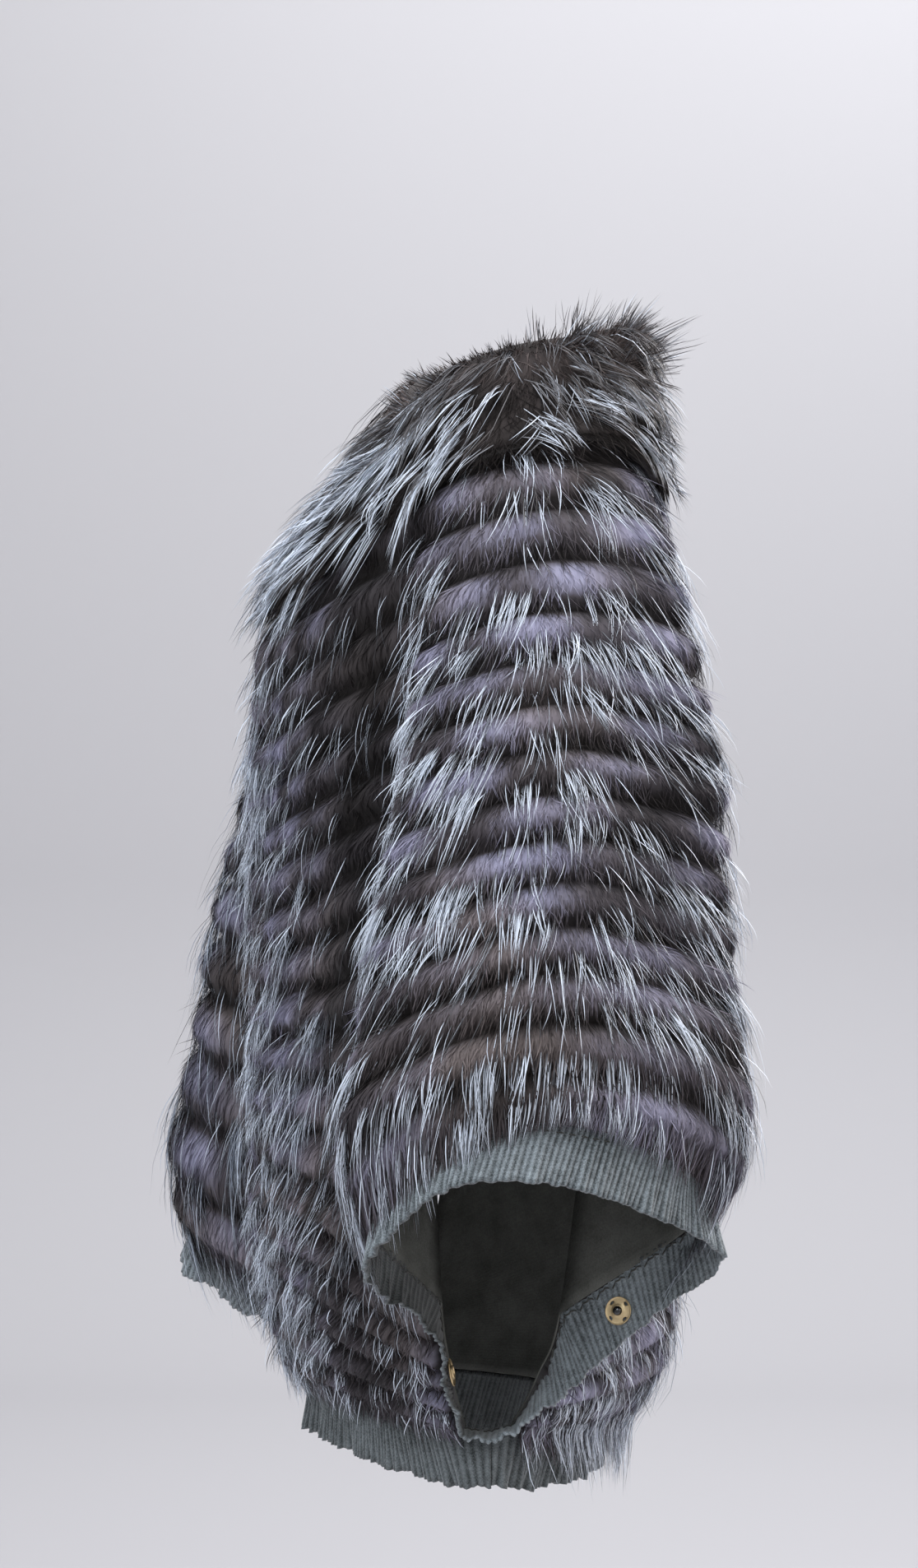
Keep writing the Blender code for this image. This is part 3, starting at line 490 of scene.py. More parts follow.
def put_mesh(name, points, faces, materials, face_material=None, maps=(), smooth=True, values=None):
    """A mesh object from arrays. faces is a list of arrays, each with one number of corners a face.

    maps are the corners' map values by point, and values are points' own numbers, kept as "tone".
    """
    mesh = bpy.data.meshes.new(name)
    counts = np.concatenate([np.full(len(part), part.shape[1]) for part in faces])
    loops = np.concatenate([part.ravel() for part in faces]).astype(np.int32)
    starts = np.concatenate([[0], np.cumsum(counts)[:-1]]).astype(np.int32)
    mesh.vertices.add(len(points))
    mesh.vertices.foreach_set("co", np.ascontiguousarray(points, np.float32).ravel())
    mesh.loops.add(len(loops))
    mesh.loops.foreach_set("vertex_index", loops)
    mesh.polygons.add(len(counts))
    mesh.polygons.foreach_set("loop_start", starts)
    mesh.polygons.foreach_set("use_smooth", np.full(len(counts), smooth))
    mesh.update(calc_edges=True)
    for map_name, laid in maps:
        layer = mesh.uv_layers.new(name=map_name)
        layer.data.foreach_set("uv", np.ascontiguousarray(laid[loops], np.float32).ravel())
    if values is not None:
        tone = mesh.attributes.new("tone", "FLOAT", "POINT")
        tone.data.foreach_set("value", np.ascontiguousarray(values, np.float32).ravel())
    for material in materials:
        mesh.materials.append(material)
    if face_material is not None:
        mesh.polygons.foreach_set("material_index", face_material.astype(np.int32))
    mesh.validate(clean_customdata=False)
    thing = bpy.data.objects.new(name, mesh)
    bpy.context.scene.collection.objects.link(thing)
    return thing


def grid_faces(rows, cols, first=0, ring=False, flip=False):
    """Quads of a grid of points numbered row by row; a ring's last column runs on to its first."""
    across = cols if ring else cols - 1
    row, col = np.meshgrid(np.arange(rows - 1), np.arange(across), indexing="ij")
    near = first + row * cols + col
    after = first + row * cols + (col + 1) % cols
    quads = np.stack([near, after, after + cols, near + cols], axis=-1).reshape(-1, 4)
    return quads[:, ::-1] if flip else quads


def facing_out(points, quads, *more):
    """The faces, all turned over if the volume that the quads enclose comes out negative."""
    a, b, c, d = (points[quads[:, place]] for place in range(4))
    turned_over = (a * (np.cross(b, c) + np.cross(c, d))).sum() < 0
    return [part[:, ::-1] if turned_over else part for part in (quads, *more)]


def closed_wall(name, inner, outer, materials, pattern, ring=False, tone=None, inner_tone=0.0):
    """Two grids of the same size joined round their edges into one closed wall.

    pattern gives the outer grid's pattern coordinates; the inner grid has the same ones.
    The faces are turned so that the wall's volume is positive.
    """
    rows, cols = inner.shape[:2]
    count = rows * cols
    points = np.concatenate([outer.reshape(-1, 3), inner.reshape(-1, 3)])
    top = grid_faces(rows, cols, 0, ring)
    under = grid_faces(rows, cols, count, ring, flip=True)
    line = np.arange(cols if ring else cols - 1)
    after = (line + 1) % cols
    low = (rows - 1) * cols
    rims = [
        np.stack([after, line, line + count, after + count], axis=-1),
        np.stack([low + line, low + after, low + after + count, low + line + count], axis=-1),
    ]
    if not ring:
        up = np.arange(rows - 1) * cols
        rims.append(np.stack([up, up + cols, up + cols + count, up + count], axis=-1))
        end = up + cols - 1
        rims.append(np.stack([end + cols, end, end + count, end + cols + count], axis=-1))
    rims = np.concatenate(rims)
    faces = facing_out(points, np.concatenate([top, under, rims]))[0]
    kind = np.concatenate([np.zeros(len(top)), np.ones(len(under)), np.zeros(len(rims))])
    u, v = np.meshgrid(np.linspace(0.02, 0.98, cols), np.linspace(0.01, 0.49, rows))
    bake = np.concatenate([np.stack([u, v], -1).reshape(-1, 2), np.stack([u, v + 0.5], -1).reshape(-1, 2)])
    laid = np.concatenate([pattern.reshape(-1, 2)] * 2)
    values = None if tone is None else np.concatenate([tone.ravel(), (tone * inner_tone).ravel()])
    return put_mesh(
        name, points, [faces], materials, kind if len(materials) > 1 else None,
        [("Pile", laid), ("OFBake", bake)], values=values,
    )


def blades(name, path, widths, facing, tone, material, twist):
    """Hair as tapered blades.

    path has for each hair its stations' points, widths the blade's width at all stations but the tip, facing
    the way each blade faces before twist turns it about its run, and tone the map's across value. Each
    station but the tip has a left and a right point, at the path plus and minus half the width along the
    unit product of run and facing.
    """
    hairs, stations = path.shape[:2]
    run = np.gradient(path, axis=1)
    side = unit(np.cross(run, facing[:, None, :]))
    lift = unit(np.cross(side, run))
    side = side * np.cos(twist)[:, None, None] + lift * np.sin(twist)[:, None, None]
    half = side[:, :-1] * widths[..., None] * 0.5
    body = np.stack([path[:, :-1] - half, path[:, :-1] + half], axis=2).reshape(hairs, -1, 3)
    points = np.concatenate([body, path[:, -1:]], axis=1)
    per = points.shape[1]
    first = (np.arange(hairs) * per)[:, None]
    quads = [
        first + np.array([[2 * k, 2 * k + 1, 2 * k + 3, 2 * k + 2]]) for k in range(stations - 2)
    ]
    tip = first + np.array([[2 * (stations - 2), 2 * (stations - 2) + 1, per - 1]])
    length = np.linspace(0.0, 1.0, stations)
    v = np.concatenate([np.repeat(length[:-1], 2), [1.0]])
    u = np.broadcast_to(tone[:, None], (hairs, per))
    laid = np.stack([u, np.broadcast_to(v, (hairs, per))], axis=-1).reshape(-1, 2)
    laid = np.clip(laid, 0.004, 0.996)
    return put_mesh(
        name, points.reshape(-1, 3), [*quads, tip], [material], maps=[("OFBake", laid)], smooth=True
    )


# ---- Shader nodes.


class Value:
    """A shader socket that holds a number. Its operators add Math nodes."""

    def __init__(self, nodes, socket):
        self.nodes, self.socket = nodes, socket

    def _math(self, operation, first, second=None):
        given = {0: first} if second is None else {0: first, 1: second}
        return self.nodes.add("ShaderNodeMath", {"operation": operation}, given)

    def __add__(self, other):
        return self._math("ADD", self, other)

    def __sub__(self, other):
        return self._math("SUBTRACT", self, other)

    def __rsub__(self, other):
        return self._math("SUBTRACT", other, self)

    def __mul__(self, other):
        return self._math("MULTIPLY", self, other)

    def __truediv__(self, other):
        return self._math("DIVIDE", self, other)

    __radd__, __rmul__ = __add__, __mul__

    def fraction(self):
        return self._math("FRACT", self)

    def sine(self):
        return self._math("SINE", self)

    def absolute(self):
        return self._math("ABSOLUTE", self)


class Nodes:
    """The nodes of one material."""

    def __init__(self, name):
        self.material = bpy.data.materials.new(name)
        self.material.use_nodes = True
        self.tree = self.material.node_tree
        self.shader = self.tree.nodes["Principled BSDF"]

    def add(self, kind, settings=None, inputs=None, output=0):
        """A node of this type. settings are set first; a ramp's stops are pairs of place and colour."""
        node = self.tree.nodes.new(kind)
        for key, value in (settings or {}).items():
            if key == "stops":
                ramp = node.color_ramp
                while len(ramp.elements) < len(value):
                    ramp.elements.new(0.5)
                for element, (place, colour) in zip(ramp.elements, value):
                    element.position = place
                    element.color = (*colour, 1.0)
            else:
                setattr(node, key, value)
        for key, value in (inputs or {}).items():
            self.feed(node.inputs[key], value)
        return Value(self, node.outputs[output])

    def feed(self, socket, value):
        """Links a Value to the socket, or sets the socket to a plain number or colour."""
        if isinstance(value, Value):
            self.tree.links.new(value.socket, socket)
        else:
            socket.default_value = value

    def mix(self, share, first, second, blend="MIX"):
        """Colour between first and second, by share."""
        node = self.tree.nodes.new("ShaderNodeMix")
        node.data_type = "RGBA"
        node.blend_type = blend
        for place, value in ((0, share), (6, first), (7, second)):
            if isinstance(value, tuple):
                value = (*value, 1.0)[:4]
            self.feed(node.inputs[place], value)
        return Value(self, node.outputs[2])

    def laid(self, name):
        """The across and down values of one of the piece's own maps."""
        layer = self.add("ShaderNodeUVMap", {"uv_map": name})
        return (
            self.add("ShaderNodeSeparateXYZ", inputs={0: layer}),
            self.add("ShaderNodeSeparateXYZ", inputs={0: layer}, output=1),
        )

    def own_tone(self):
        """The points' own number."""
        return self.add("ShaderNodeAttribute", {"attribute_name": "tone"}, output=2)

    def place(self, x, y, z=0.0):
        """A vector from three values."""
        return self.add("ShaderNodeCombineXYZ", inputs={0: x, 1: y, 2: z})

    def noise(self, where, scale, detail=2.0, rough=0.5):
        """Smooth noise from 0 to 1."""
        inputs = {"Vector": where, "Scale": scale, "Detail": detail, "Roughness": rough}
        return self.add("ShaderNodeTexNoise", {"noise_dimensions": "3D"}, inputs)

    def ramp(self, share, *stops):
        """The colour at a share of the way through stops, each a place and a colour."""
        return self.add("ShaderNodeValToRGB", {"stops": stops}, {"Fac": share})

    def here(self):
        """Object coordinates."""
        return self.add("ShaderNodeTexCoord", output=3)

    def finish(self, colour, roughness, bump=None, strength=0.3, distance=0.001, **plain):
        """Feeds the shader and gives the material."""
        self.feed(self.shader.inputs["Base Color"], colour)
        self.feed(self.shader.inputs["Roughness"], roughness)
        if bump is not None:
            inputs = {"Height": bump, "Strength": strength, "Distance": distance}
            self.feed(self.shader.inputs["Normal"], self.add("ShaderNodeBump", inputs=inputs))
        for key, value in plain.items():
            self.shader.inputs[key.replace("_", " ")].default_value = value
        return self.material


BROWN_DOWN = (0.235, 0.195, 0.188)
# the near black that the rib knit turns to by its points' tone: painted shade on the bands' inner faces, the
# hem band and the root loops, and the running stitch's own dark thread
SHADE_AND_THREAD_DARK, SHADE_AND_THREAD_LIGHT = (0.010, 0.011, 0.009), (0.060, 0.060, 0.050)
HAIR_BAND = ((0.0, 0.12), (0.12, 0.50), (0.28, 1.0), (0.82, 1.0), (1.0, 0.65))  # place along, brightness


def chosen(group, *names):
    """Colours from the panel's settings."""
    settings = getattr(bpy.context.scene, group)
    return [tuple(getattr(settings, name)) for name in names]


def grey(value):
    """A colour without a tint."""
    return (value, value, value)


def warmed(nodes, colour, tone, dark):
    """The colour with brown patches about a hand wide, as light as the tone says."""
    warm = nodes.noise(nodes.here(), scale=7.0, detail=1.0)
    return nodes.mix((warm - 0.46) * 4.5, colour, nodes.mix(tone, dark, BROWN_DOWN))


@cache
def underfur_material(name, light, mid, dark):
    """Soft underfur: each strip goes from a dark groove to a light upper half and a dark lower edge, as its
    points' tone paints shade into the groove and along the lower edge.
    """
    nodes = Nodes(name)
    along, down = nodes.laid("Pile")
    here = nodes.here()
    tone = nodes.own_tone()
    streak = nodes.noise(nodes.place(along * 420.0, down * 3.0), scale=1.0, detail=3.0, rough=0.6)
    cloud = nodes.noise(here, scale=60.0)
    tone = tone * (0.70 + streak * 0.60) + (cloud - 0.5) * 0.10
    colour = warmed(nodes, nodes.ramp(tone, (0.0, dark), (0.40, mid), (1.0, light)), tone, dark)
    return nodes.finish(
        colour, 0.85, bump=streak, strength=0.35, distance=0.0010,
        Specular_IOR_Level=0.12, Sheen_Weight=0.18, Sheen_Roughness=0.5,
    )


@cache
def hair_material(name, bright, root):
    """Guard hair: dark at the root, light along the middle and darker at the tip, as far as tone says."""
    nodes = Nodes(name)
    tone, along = nodes.laid("OFBake")
    band = nodes.ramp(along, *((place, grey(value)) for place, value in HAIR_BAND))
    return nodes.finish(nodes.mix(tone * band, root, bright), 0.42, Specular_IOR_Level=0.45)


@cache
def rib_material(name, light, dark):
    """Mottled wool rib: two columns of V stitches to a rib, light and dark fibres mixed through them."""
    nodes = Nodes(name)
    rib, row = nodes.laid("Pile")
    here = nodes.here()
    slant = ((rib * 2.0).fraction() - 0.5).absolute() * 1.1
    stitch = ((row + slant) * TAU).sine() * 0.5 + 0.5
    # crest is light on each rib's crest and dark in the furrow between ribs: painted shade in the furrows
    crest = (rib * TAU - TAU / 4).sine() * 0.5 + 0.5
    fibre = nodes.noise(here, scale=1100.0, detail=3.0, rough=0.75)
    mottle = nodes.noise(here, scale=170.0, detail=3.0, rough=0.7)
    cloud = nodes.noise(here, scale=22.0)
    tone = (mottle - 0.5) * 0.9 + (fibre - 0.5) * 1.5 + (cloud - 0.5) * 0.7
    tone = tone + stitch * 0.12 + crest * 0.42 + 0.13
    colour = nodes.ramp(tone, (0.0, dark), (1.0, light))
    # the points' tone: painted shade on the bands' inner faces, the hem band and the root loops, and the
    # running stitch's dark thread; 1 keeps the rib knit's own colours
    shade_and_thread_tone = nodes.own_tone()
    colour = nodes.mix(shade_and_thread_tone, nodes.mix(tone, SHADE_AND_THREAD_DARK, SHADE_AND_THREAD_LIGHT), colour)
    return nodes.finish(
        colour, 0.95, bump=stitch * 0.35 + fibre * 0.7, strength=0.7, distance=0.0007,
        Specular_IOR_Level=0.1, Sheen_Weight=0.30, Sheen_Roughness=0.6,
    )


@cache
def felt_material(name, light, dark):
    """The plain knit inside, fulled by long wear until its stitches hardly show."""
    nodes = Nodes(name)
    here = nodes.here()
    down = nodes.laid("Pile")[1]
    fibre = nodes.noise(here, scale=700.0, detail=3.0, rough=0.7)
    cloud = nodes.noise(here, scale=45.0, detail=3.0, rough=0.6)
    row = ((down * 9.0) * TAU).sine() * 0.5 + 0.5
    tone = (cloud - 0.5) * 1.0 + (fibre - 0.5) * 0.9 + row * 0.03 + 0.45
    return nodes.finish(
        nodes.ramp(tone, (0.0, dark), (1.0, light)), 0.95,
        bump=fibre * 0.7 + row * 0.1, strength=0.5, distance=0.0006, Specular_IOR_Level=0.1,
    )


@cache
def down_material(name, light, mid, dark):
    """Down: a ramp from dark over mid to light by tone, a little darker at the root."""
    nodes = Nodes(name)
    tone, along = nodes.laid("OFBake")
    tone = tone * (0.70 + along * 0.35)
    colour = warmed(nodes, nodes.ramp(tone, (0.0, dark), (0.40, mid), (1.0, light)), tone, dark)
    return nodes.finish(colour, 0.8, Specular_IOR_Level=0.15)


@cache
def collar_material(name, light, mid, dark):
    """The collar's underfur: smoky, brown over the top, with dark partings that run with the hair."""
    nodes = Nodes(name)
    along, down = nodes.laid("Pile")
    here = nodes.here()
    broad = nodes.noise(here, scale=26.0)
    streak = nodes.noise(nodes.place(along * 260.0, down * 3.0), scale=1.0, detail=3.0, rough=0.6)
    tone = (broad - 0.30) * 1.3 * (0.5 + streak)
    return nodes.finish(
        nodes.ramp(tone, (0.0, dark), (0.5, mid), (1.0, light)), 0.85,
        bump=streak, strength=0.5, distance=0.0015, Specular_IOR_Level=0.15, Sheen_Weight=0.2,
    )


@cache
def metal_material(name, colour, roughness):
    """Plain turned metal with a little wear in its gloss."""
    nodes = Nodes(name)
    wear = nodes.noise(nodes.here(), scale=420.0, detail=3.0)
    tint = nodes.mix(wear * 0.5, colour, tuple(part * 0.72 for part in colour))
    return nodes.finish(tint, wear * 0.20 + roughness, Metallic=1.0)


# ---- The pieces.

PANELS = {
    "front_panel": ("front", None),
    "back_panel": ("back", None),
    "sleeve_left": ("sleeve", LEFT),
    "sleeve_right": ("sleeve", RIGHT),
}
BASE_FROM, BASE_TO = 0.0002, 0.0018  # metres over a panel's inner face: the knitted base's two faces
CUT_ALLOWANCE = 1.02  # a cut piece over the panel's longest row and column


@cache
def field_of(name):
    """The panel's field, worked out once."""
    return panel_field(name, *PANELS[name])


def own_rows(field):
    """Number of rows on the panel itself, without the overhang's."""
    return field.strips * ROWS_A_STRIP + 1


def round_at(field, across):
    """Places round the coat for places across a panel."""
    cols = len(field.around) - 1
    return np.interp(across * cols, np.arange(cols + 1), field.around)


def pattern_of(field, rows):
    """Pattern coordinates: metres along each strip from the middle column, and strips down."""
    base = field.base[:rows]
    steps = np.linalg.norm(np.diff(base, axis=1), axis=-1)
    run = np.concatenate([np.zeros((rows, 1)), np.cumsum(steps, axis=1)], axis=1)
    run = run - run[:, run.shape[1] // 2][:, None]
    strips = np.broadcast_to((np.arange(rows) / ROWS_A_STRIP)[:, None], run.shape)
    return np.stack([run, strips], axis=-1)


def knit_base(name):
    """The knitted base of a panel: a wall of 1.6 mm on every other row and column of its inner face."""
    field = field_of(name)
    rows = own_rows(field)
    whole = field.base[:rows]
    base, way = whole[::2, ::2], field.way[:rows:2, ::2]
    felt = felt_material("felted_knit", *chosen("coat_knit", "felt_light", "felt_dark"))
    thing = closed_wall(
        f"{name}_knit_base", base + way * BASE_FROM, base + way * BASE_TO, [felt],
        pattern_of(field, rows)[::2, ::2],
    )
    width = float(field.extent[:rows].max()) * CUT_ALLOWANCE
    length = float(np.linalg.norm(np.diff(whole, axis=0), axis=-1).sum(0).max()) * CUT_ALLOWANCE
    corner = whole[:-1, :-1]
    area = np.linalg.norm(np.cross(whole[1:, :-1] - corner, whole[:-1, 1:] - corner), axis=-1).sum()
    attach(thing, "root")
    return thing, (width, length), float(area)


def underfur(name):
    """The underfur of a panel: a closed skin from the knitted base to the ridged pile."""
    field = field_of(name)
    rows = own_rows(field)
    strip, around = np.meshgrid(np.arange(rows) / ROWS_A_STRIP, field.around, indexing="ij")
    height = pile_height(strip, around, field.strips, bpy.context.scene.coat_fur.hair_cover)
    base, way = field.base[:rows], field.way[:rows]
    fur = underfur_material("silver_fox_underfur", *chosen("coat_fur", "light", "mid", "dark"))
    thing = closed_wall(
        f"{name}_underfur", base + way * BASE_TO, base + way * height[..., None], [fur],
        pattern_of(field, rows), tone=pile_tone(strip, around, field.strips),
    )
    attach(thing, "root")
    return thing


Coat = namedtuple("Coat", "word tuft shortest longest wide arch fly twist stations widths")
GUARD = Coat(  # lengths in strips, the rest in metres; fly is the share of hairs that stand off the others
    word="guard", tuft=6.0, shortest=0.75, longest=1.75, wide=0.00064, arch=0.0050, fly=0.38, twist=0.5,
    stations=(0.0, 0.22, 0.46, 0.72, 1.0), widths=(0.40, 0.95, 1.0, 0.72),
)
DOWN = Coat(
    word="down", tuft=1.0, shortest=0.30, longest=0.60, wide=0.00085, arch=0.0016, fly=0.04, twist=0.3,
    stations=(0.0, 0.50, 1.0), widths=(0.75, 1.0),
)
# Metres, where nothing else is said.
TUFT_SPREAD = 0.0040  # to each side of a tuft's middle at its root
TUFT_CLOSES = 0.50  # share by which a tuft's hairs draw together at their tips
TUFT_LEAN = 0.08  # sideways for its length
TUFT_START = (0.46, 0.90)  # shares of a strip's height between which a tuft of guard hair starts
HAIR_LENGTHS = (0.72, 1.10)  # a hair's share of its tuft's length
ROOT_DEPTH = 0.004  # a root lies this far under the pile's surface
TIP_RISE = (-0.0010, 0.0045)  # a tip's height over the pile
FLY_RISE = (0.003, 0.015)  # what a hair that stands off adds
HAIR_STRAY = 0.0010
ARCH_SHARES = (0.15, 1.0)  # a hair's share of the coat's arch
DOWN_HEIGHT = (-0.0030, 0.0035)  # least height over the pile at a down hair's root, and more at its tip
DOWN_TONES = (0.80, 1.25)  # shares of the pile's tone
WIDTH_SHARES = (0.55, 1.25)  # a hair's share of the coat's width
START_STRAY = 0.06  # strips
SHORTEST_HAIR = 0.15  # strips: shorter hair is left out
UNDER_COLLAR = 0.25  # strips: hair that starts further under the collar is left out
SILVER_CHANCE = (0.45, 1.0)  # share of the silver share, and more for a tuft's brightness
SILVER_TONES, SMOKY_TO = (0.55, 1.0), 0.24
HAIR_PATCH_SEED, WIDE_HAIR_PATCH_SEED = 31, 32

# Hair is thicker on the sleeve/back seam over the opening: where round, and from which strips on.
CORNER_AT, CORNER_WIDTH, CORNER_FROM, CORNER_TO, CORNER_MORE = 2.12, 0.22, 12.0, 15.0, 2.0

COMBING = {  # places across a panel, and how far a hair goes sideways there for its length
    "front": ((0.00, 0.25, 0.50, 0.75, 1.00), (0.00, 0.28, 0.00, -0.28, 0.00)),
    "back": ((0.00, 0.25, 0.50, 0.75, 1.00), (0.06, 0.22, 0.00, -0.22, -0.06)),
    "sleeve": ((0.00, 0.22, 0.45, 0.70, 1.00), (-0.12, -0.30, 0.00, 0.30, 0.50)),
}

Fringe = namedtuple("Fringe", "share hang lift")
FRINGES = {  # share of a panel's hair that hangs from its last strip, strips past it, and lift a strip
    "front_panel": Fringe(0.05, 0.75, -0.002),
    "back_panel": Fringe(0.34, 1.60, 0.016),
    "sleeve_left": Fringe(0.04, 1.10, -0.002),
    "sleeve_right": Fringe(0.04, 1.10, -0.002),
}
HIDDEN_DOWN = 0.6  # share of the down that the right sleeve has, which is mostly hidden
FRINGE_START = (0.08, 0.75)  # strips before the panel's end
FRINGE_LENGTH = {"guard": 1.35, "down": 2.0}
PARTING_AT, PARTING_WIDTH, PARTING_DEPTH = 0.55, 0.11, 0.85  # where a sleeve's fringe hangs less far


def hair_tufts(field, coat, count, random):
    """Each hair's tuft, and every tuft's strip, place across, lean and brightness.

    Tufts are shared out by the strips' lengths. Guard hairs gather in patches of tufts.
    """
    weight = field.extent[ROWS_A_STRIP // 2 :: ROWS_A_STRIP][: field.strips].copy()
    weight[: int(collar_reach(field.around).min())] = 0.0
    tufts = int(count / coat.tuft)
    row = random.choice(field.strips, size=tufts, p=weight / weight.sum())
    middle = random.uniform(0.0, 1.0, tufts)
    place = round_at(field, middle)
    patch = 0.46 + 0.56 * wander(HAIR_PATCH_SEED, place * 3.1, row)
    patch = patch + 0.38 * wander(WIDE_HAIR_PATCH_SEED, place * 1.6, row * 0.11)
    # painted shade and light by place: the guard hair thins where the pelt is painted dark, and its silver
    # dims there and brightens where it is painted light
    shaded = shade(row + 0.7, place)
    if coat.word == "guard":
        crowd = np.clip(patch * np.clip(shaded, 0.3, 1.0), 0.03, 1.0)
        corner = smooth_step(row, CORNER_FROM, CORNER_TO) * bell(place, CORNER_AT, CORNER_WIDTH)
        crowd = crowd * (1.0 + CORNER_MORE * corner)
        tuft = random.choice(tufts, size=count, p=crowd / crowd.sum())
    else:
        tuft = np.arange(count)
    lean = random.normal(0.0, TUFT_LEAN, tufts)
    bright = np.clip(random.uniform(0.0, 0.8, tufts) + 0.3 * patch, 0.0, 1.0) * np.clip(shaded, 0.0, 1.2)
    return tuft, row, middle, lean, bright


def hair_starts(field, coat, tuft, row, middle, random):
    """Each hair's strip, and its start and length in strips.

    A tuft of guard hair starts on its strip's lower half, down anywhere, and a share of the tufts hangs from
    the last strip as a fringe. A hair that would hang too far past the panel's end starts higher.
    """
    count, tufts, strips = len(tuft), len(row), field.strips
    row, middle = row[tuft], middle[tuft]
    length = random.uniform(coat.shortest, coat.longest, tufts)[tuft] * random.uniform(*HAIR_LENGTHS, count)
    if coat.word == "guard":
        first = row + random.uniform(*TUFT_START, tufts)[tuft] + random.normal(0.0, START_STRAY, count)
    else:
        first = row + random.uniform(0.0, 1.0, count)
    fringe = FRINGES[field.name]
    hanging = random.uniform(0.0, 1.0, tufts)[tuft] < fringe.share
    first = np.where(hanging, strips - random.uniform(*FRINGE_START, tufts)[tuft], first)
    row = np.where(hanging, strips - 1, row)
    length = np.where(hanging, length * FRINGE_LENGTH[coat.word], length)
    hang = fringe.hang
    if field.name.startswith("sleeve"):
        hang = hang * (1.0 - PARTING_DEPTH * bell(middle, PARTING_AT, PARTING_WIDTH))
    first = np.minimum(first, strips + hang * random.uniform(0.05, 1.0, count) ** 0.8 - length)
    return row, first, length


def arched(low, high, arch, share):
    """Heights that go evenly from low to high, plus an arch of 4t(1-t)."""
    return low + (high - low) * share + arch * 4 * share * (1 - share)


def strip_hair(field, coat, count, random):
    """Paths of hair on a panel, and each hair's facing and tone.

    A hair runs down over the groove and the next strip, sideways by the combing and by its tuft's lean,
    which grows with the length's square. Its height goes from the root's pile height to the tip's, arched.
    """
    strips = field.strips
    tuft, row_of, middle_of, lean_of, bright_of = hair_tufts(field, coat, count, random)
    middle = middle_of[tuft]
    spread = random.normal(0.0, TUFT_SPREAD, count)
    row, first, length = hair_starts(field, coat, tuft, row_of, middle_of, random)
    slope = np.interp(middle, *COMBING[PANELS[field.name][0]])
    along = length * STRIP_PITCH
    share = np.broadcast_to(coat.stations, (count, len(coat.stations)))
    down = first[:, None] + length[:, None] * share
    sideways = (slope * along + random.normal(0.0, HAIR_STRAY, count))[:, None] * share
    sideways = sideways + (lean_of[tuft] * along)[:, None] * share**2
    width = field.extent[row * ROWS_A_STRIP]
    across = middle[:, None] + (spread[:, None] * (1.0 - TUFT_CLOSES * share) + sideways) / width[:, None]
    across = np.clip(across, 0.0, 1.0)
    around = round_at(field, across)
    cols = len(field.around) - 1
    base = sampled(field.base, down * ROWS_A_STRIP, across * cols)
    way = unit(sampled(field.way, down * ROWS_A_STRIP, across * cols))
    pile = pile_height(np.minimum(down, strips - 1e-3), around, strips)
    low, high = pile[:, :1] - ROOT_DEPTH, pile[:, -1:] + random.uniform(*TIP_RISE, (count, 1))
    fly = (random.uniform(0.0, 1.0, count) < coat.fly)[:, None] * random.uniform(*FLY_RISE, (count, 1))
    height = arched(low, high + fly, random.uniform(*ARCH_SHARES, (count, 1)) * coat.arch, share)
    if coat.word == "guard":
        tone = bright_of[tuft]
    else:
        height = np.maximum(height, pile + grown(DOWN_HEIGHT, share))
        # the down takes the underfur's tone at its root, with its painted shade
        tone = pile_tone(np.minimum(first + 0.06, strips - 1e-3), around[:, 0], strips)
        tone = np.clip(tone * random.uniform(*DOWN_TONES, count), 0.0, 1.0)
    height = height + FRINGES[field.name].lift * np.clip(down - strips, 0.0, None)
    path = base + way * height[..., None]
    kept = (first >= collar_reach(around[:, 0]) - UNDER_COLLAR) & (length > SHORTEST_HAIR)
    return path[kept], way[kept][:, 0], tone[kept]


def hair_widths(count, coat, random):
    """Widths at all stations but the tip: each hair has its own share of the coat's width."""
    return random.uniform(*WIDTH_SHARES, count)[:, None] * coat.wide * np.array(coat.widths)[None, :]


def silvered(bright, share, random):
    """Guard hair's tone: silver where a tuft's brightness and chance give it, otherwise smoky."""
    silver = random.uniform(0.0, 1.0, len(bright)) < share * grown(SILVER_CHANCE, bright)
    smoky = SMOKY_TO * random.uniform(0.0, 1.0, len(bright)) ** 2
    return np.where(silver, random.uniform(*SILVER_TONES, len(bright)), smoky)


def panel_hair(name, coat, count, seed):
    """One coat of hair on a panel, as one piece."""
    random = np.random.default_rng(seed)
    path, facing, tone = strip_hair(field_of(name), coat, count, random)
    if coat.word == "guard":
        tone = silvered(tone, bpy.context.scene.coat_fur.white_share, random)
        finish = hair_material("guard_hair", *chosen("coat_fur", "hair_bright", "hair_dark"))
    else:
        finish = down_material("down_hair", *chosen("coat_fur", "light", "mid", "dark"))
    widths = hair_widths(len(path), coat, random)
    twist = random.normal(0.0, coat.twist, len(path))
    thing = blades(f"{name}_{coat.word}_hair", path, widths, facing, tone, finish, twist)
    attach(thing, "root")
    return thing


# ---- The collar.

COLLAR_ROWS = 22
COLLAR_HALF = 110  # columns to each side
NECK_STRIPS, NECK_COLUMNS = 5, 48  # strips under the collar, and columns on each panel of a side
NO_END = 99.0  # in the place of a panel's last strip, where its rim plays no part

LIP_CLEAR, UNDER_CLEAR, NECK_CLEAR = 0.0024, 0.0012, 0.0006  # over the panel's fur
LIP_AT = 0.42  # the lip's height, as a share of the collar's fur
BELLY_AT, BELLY_OFF = 0.67, 1.15  # the lower handle: shares of the reach and of the collar's fur
LIP_RUN_FROM = 0.83  # share of the reach from which the run at the lip is taken
CROWN_ROLL, SHOULDER_STAND = 0.30, 0.95
NECK_ROWS = ((0.65, 0.88), (0.10, 0.48))  # shares of lean and stand down the collar's inside
UNDER_ROWS = (0.33, 0.66, 1.0)  # shares of the reach

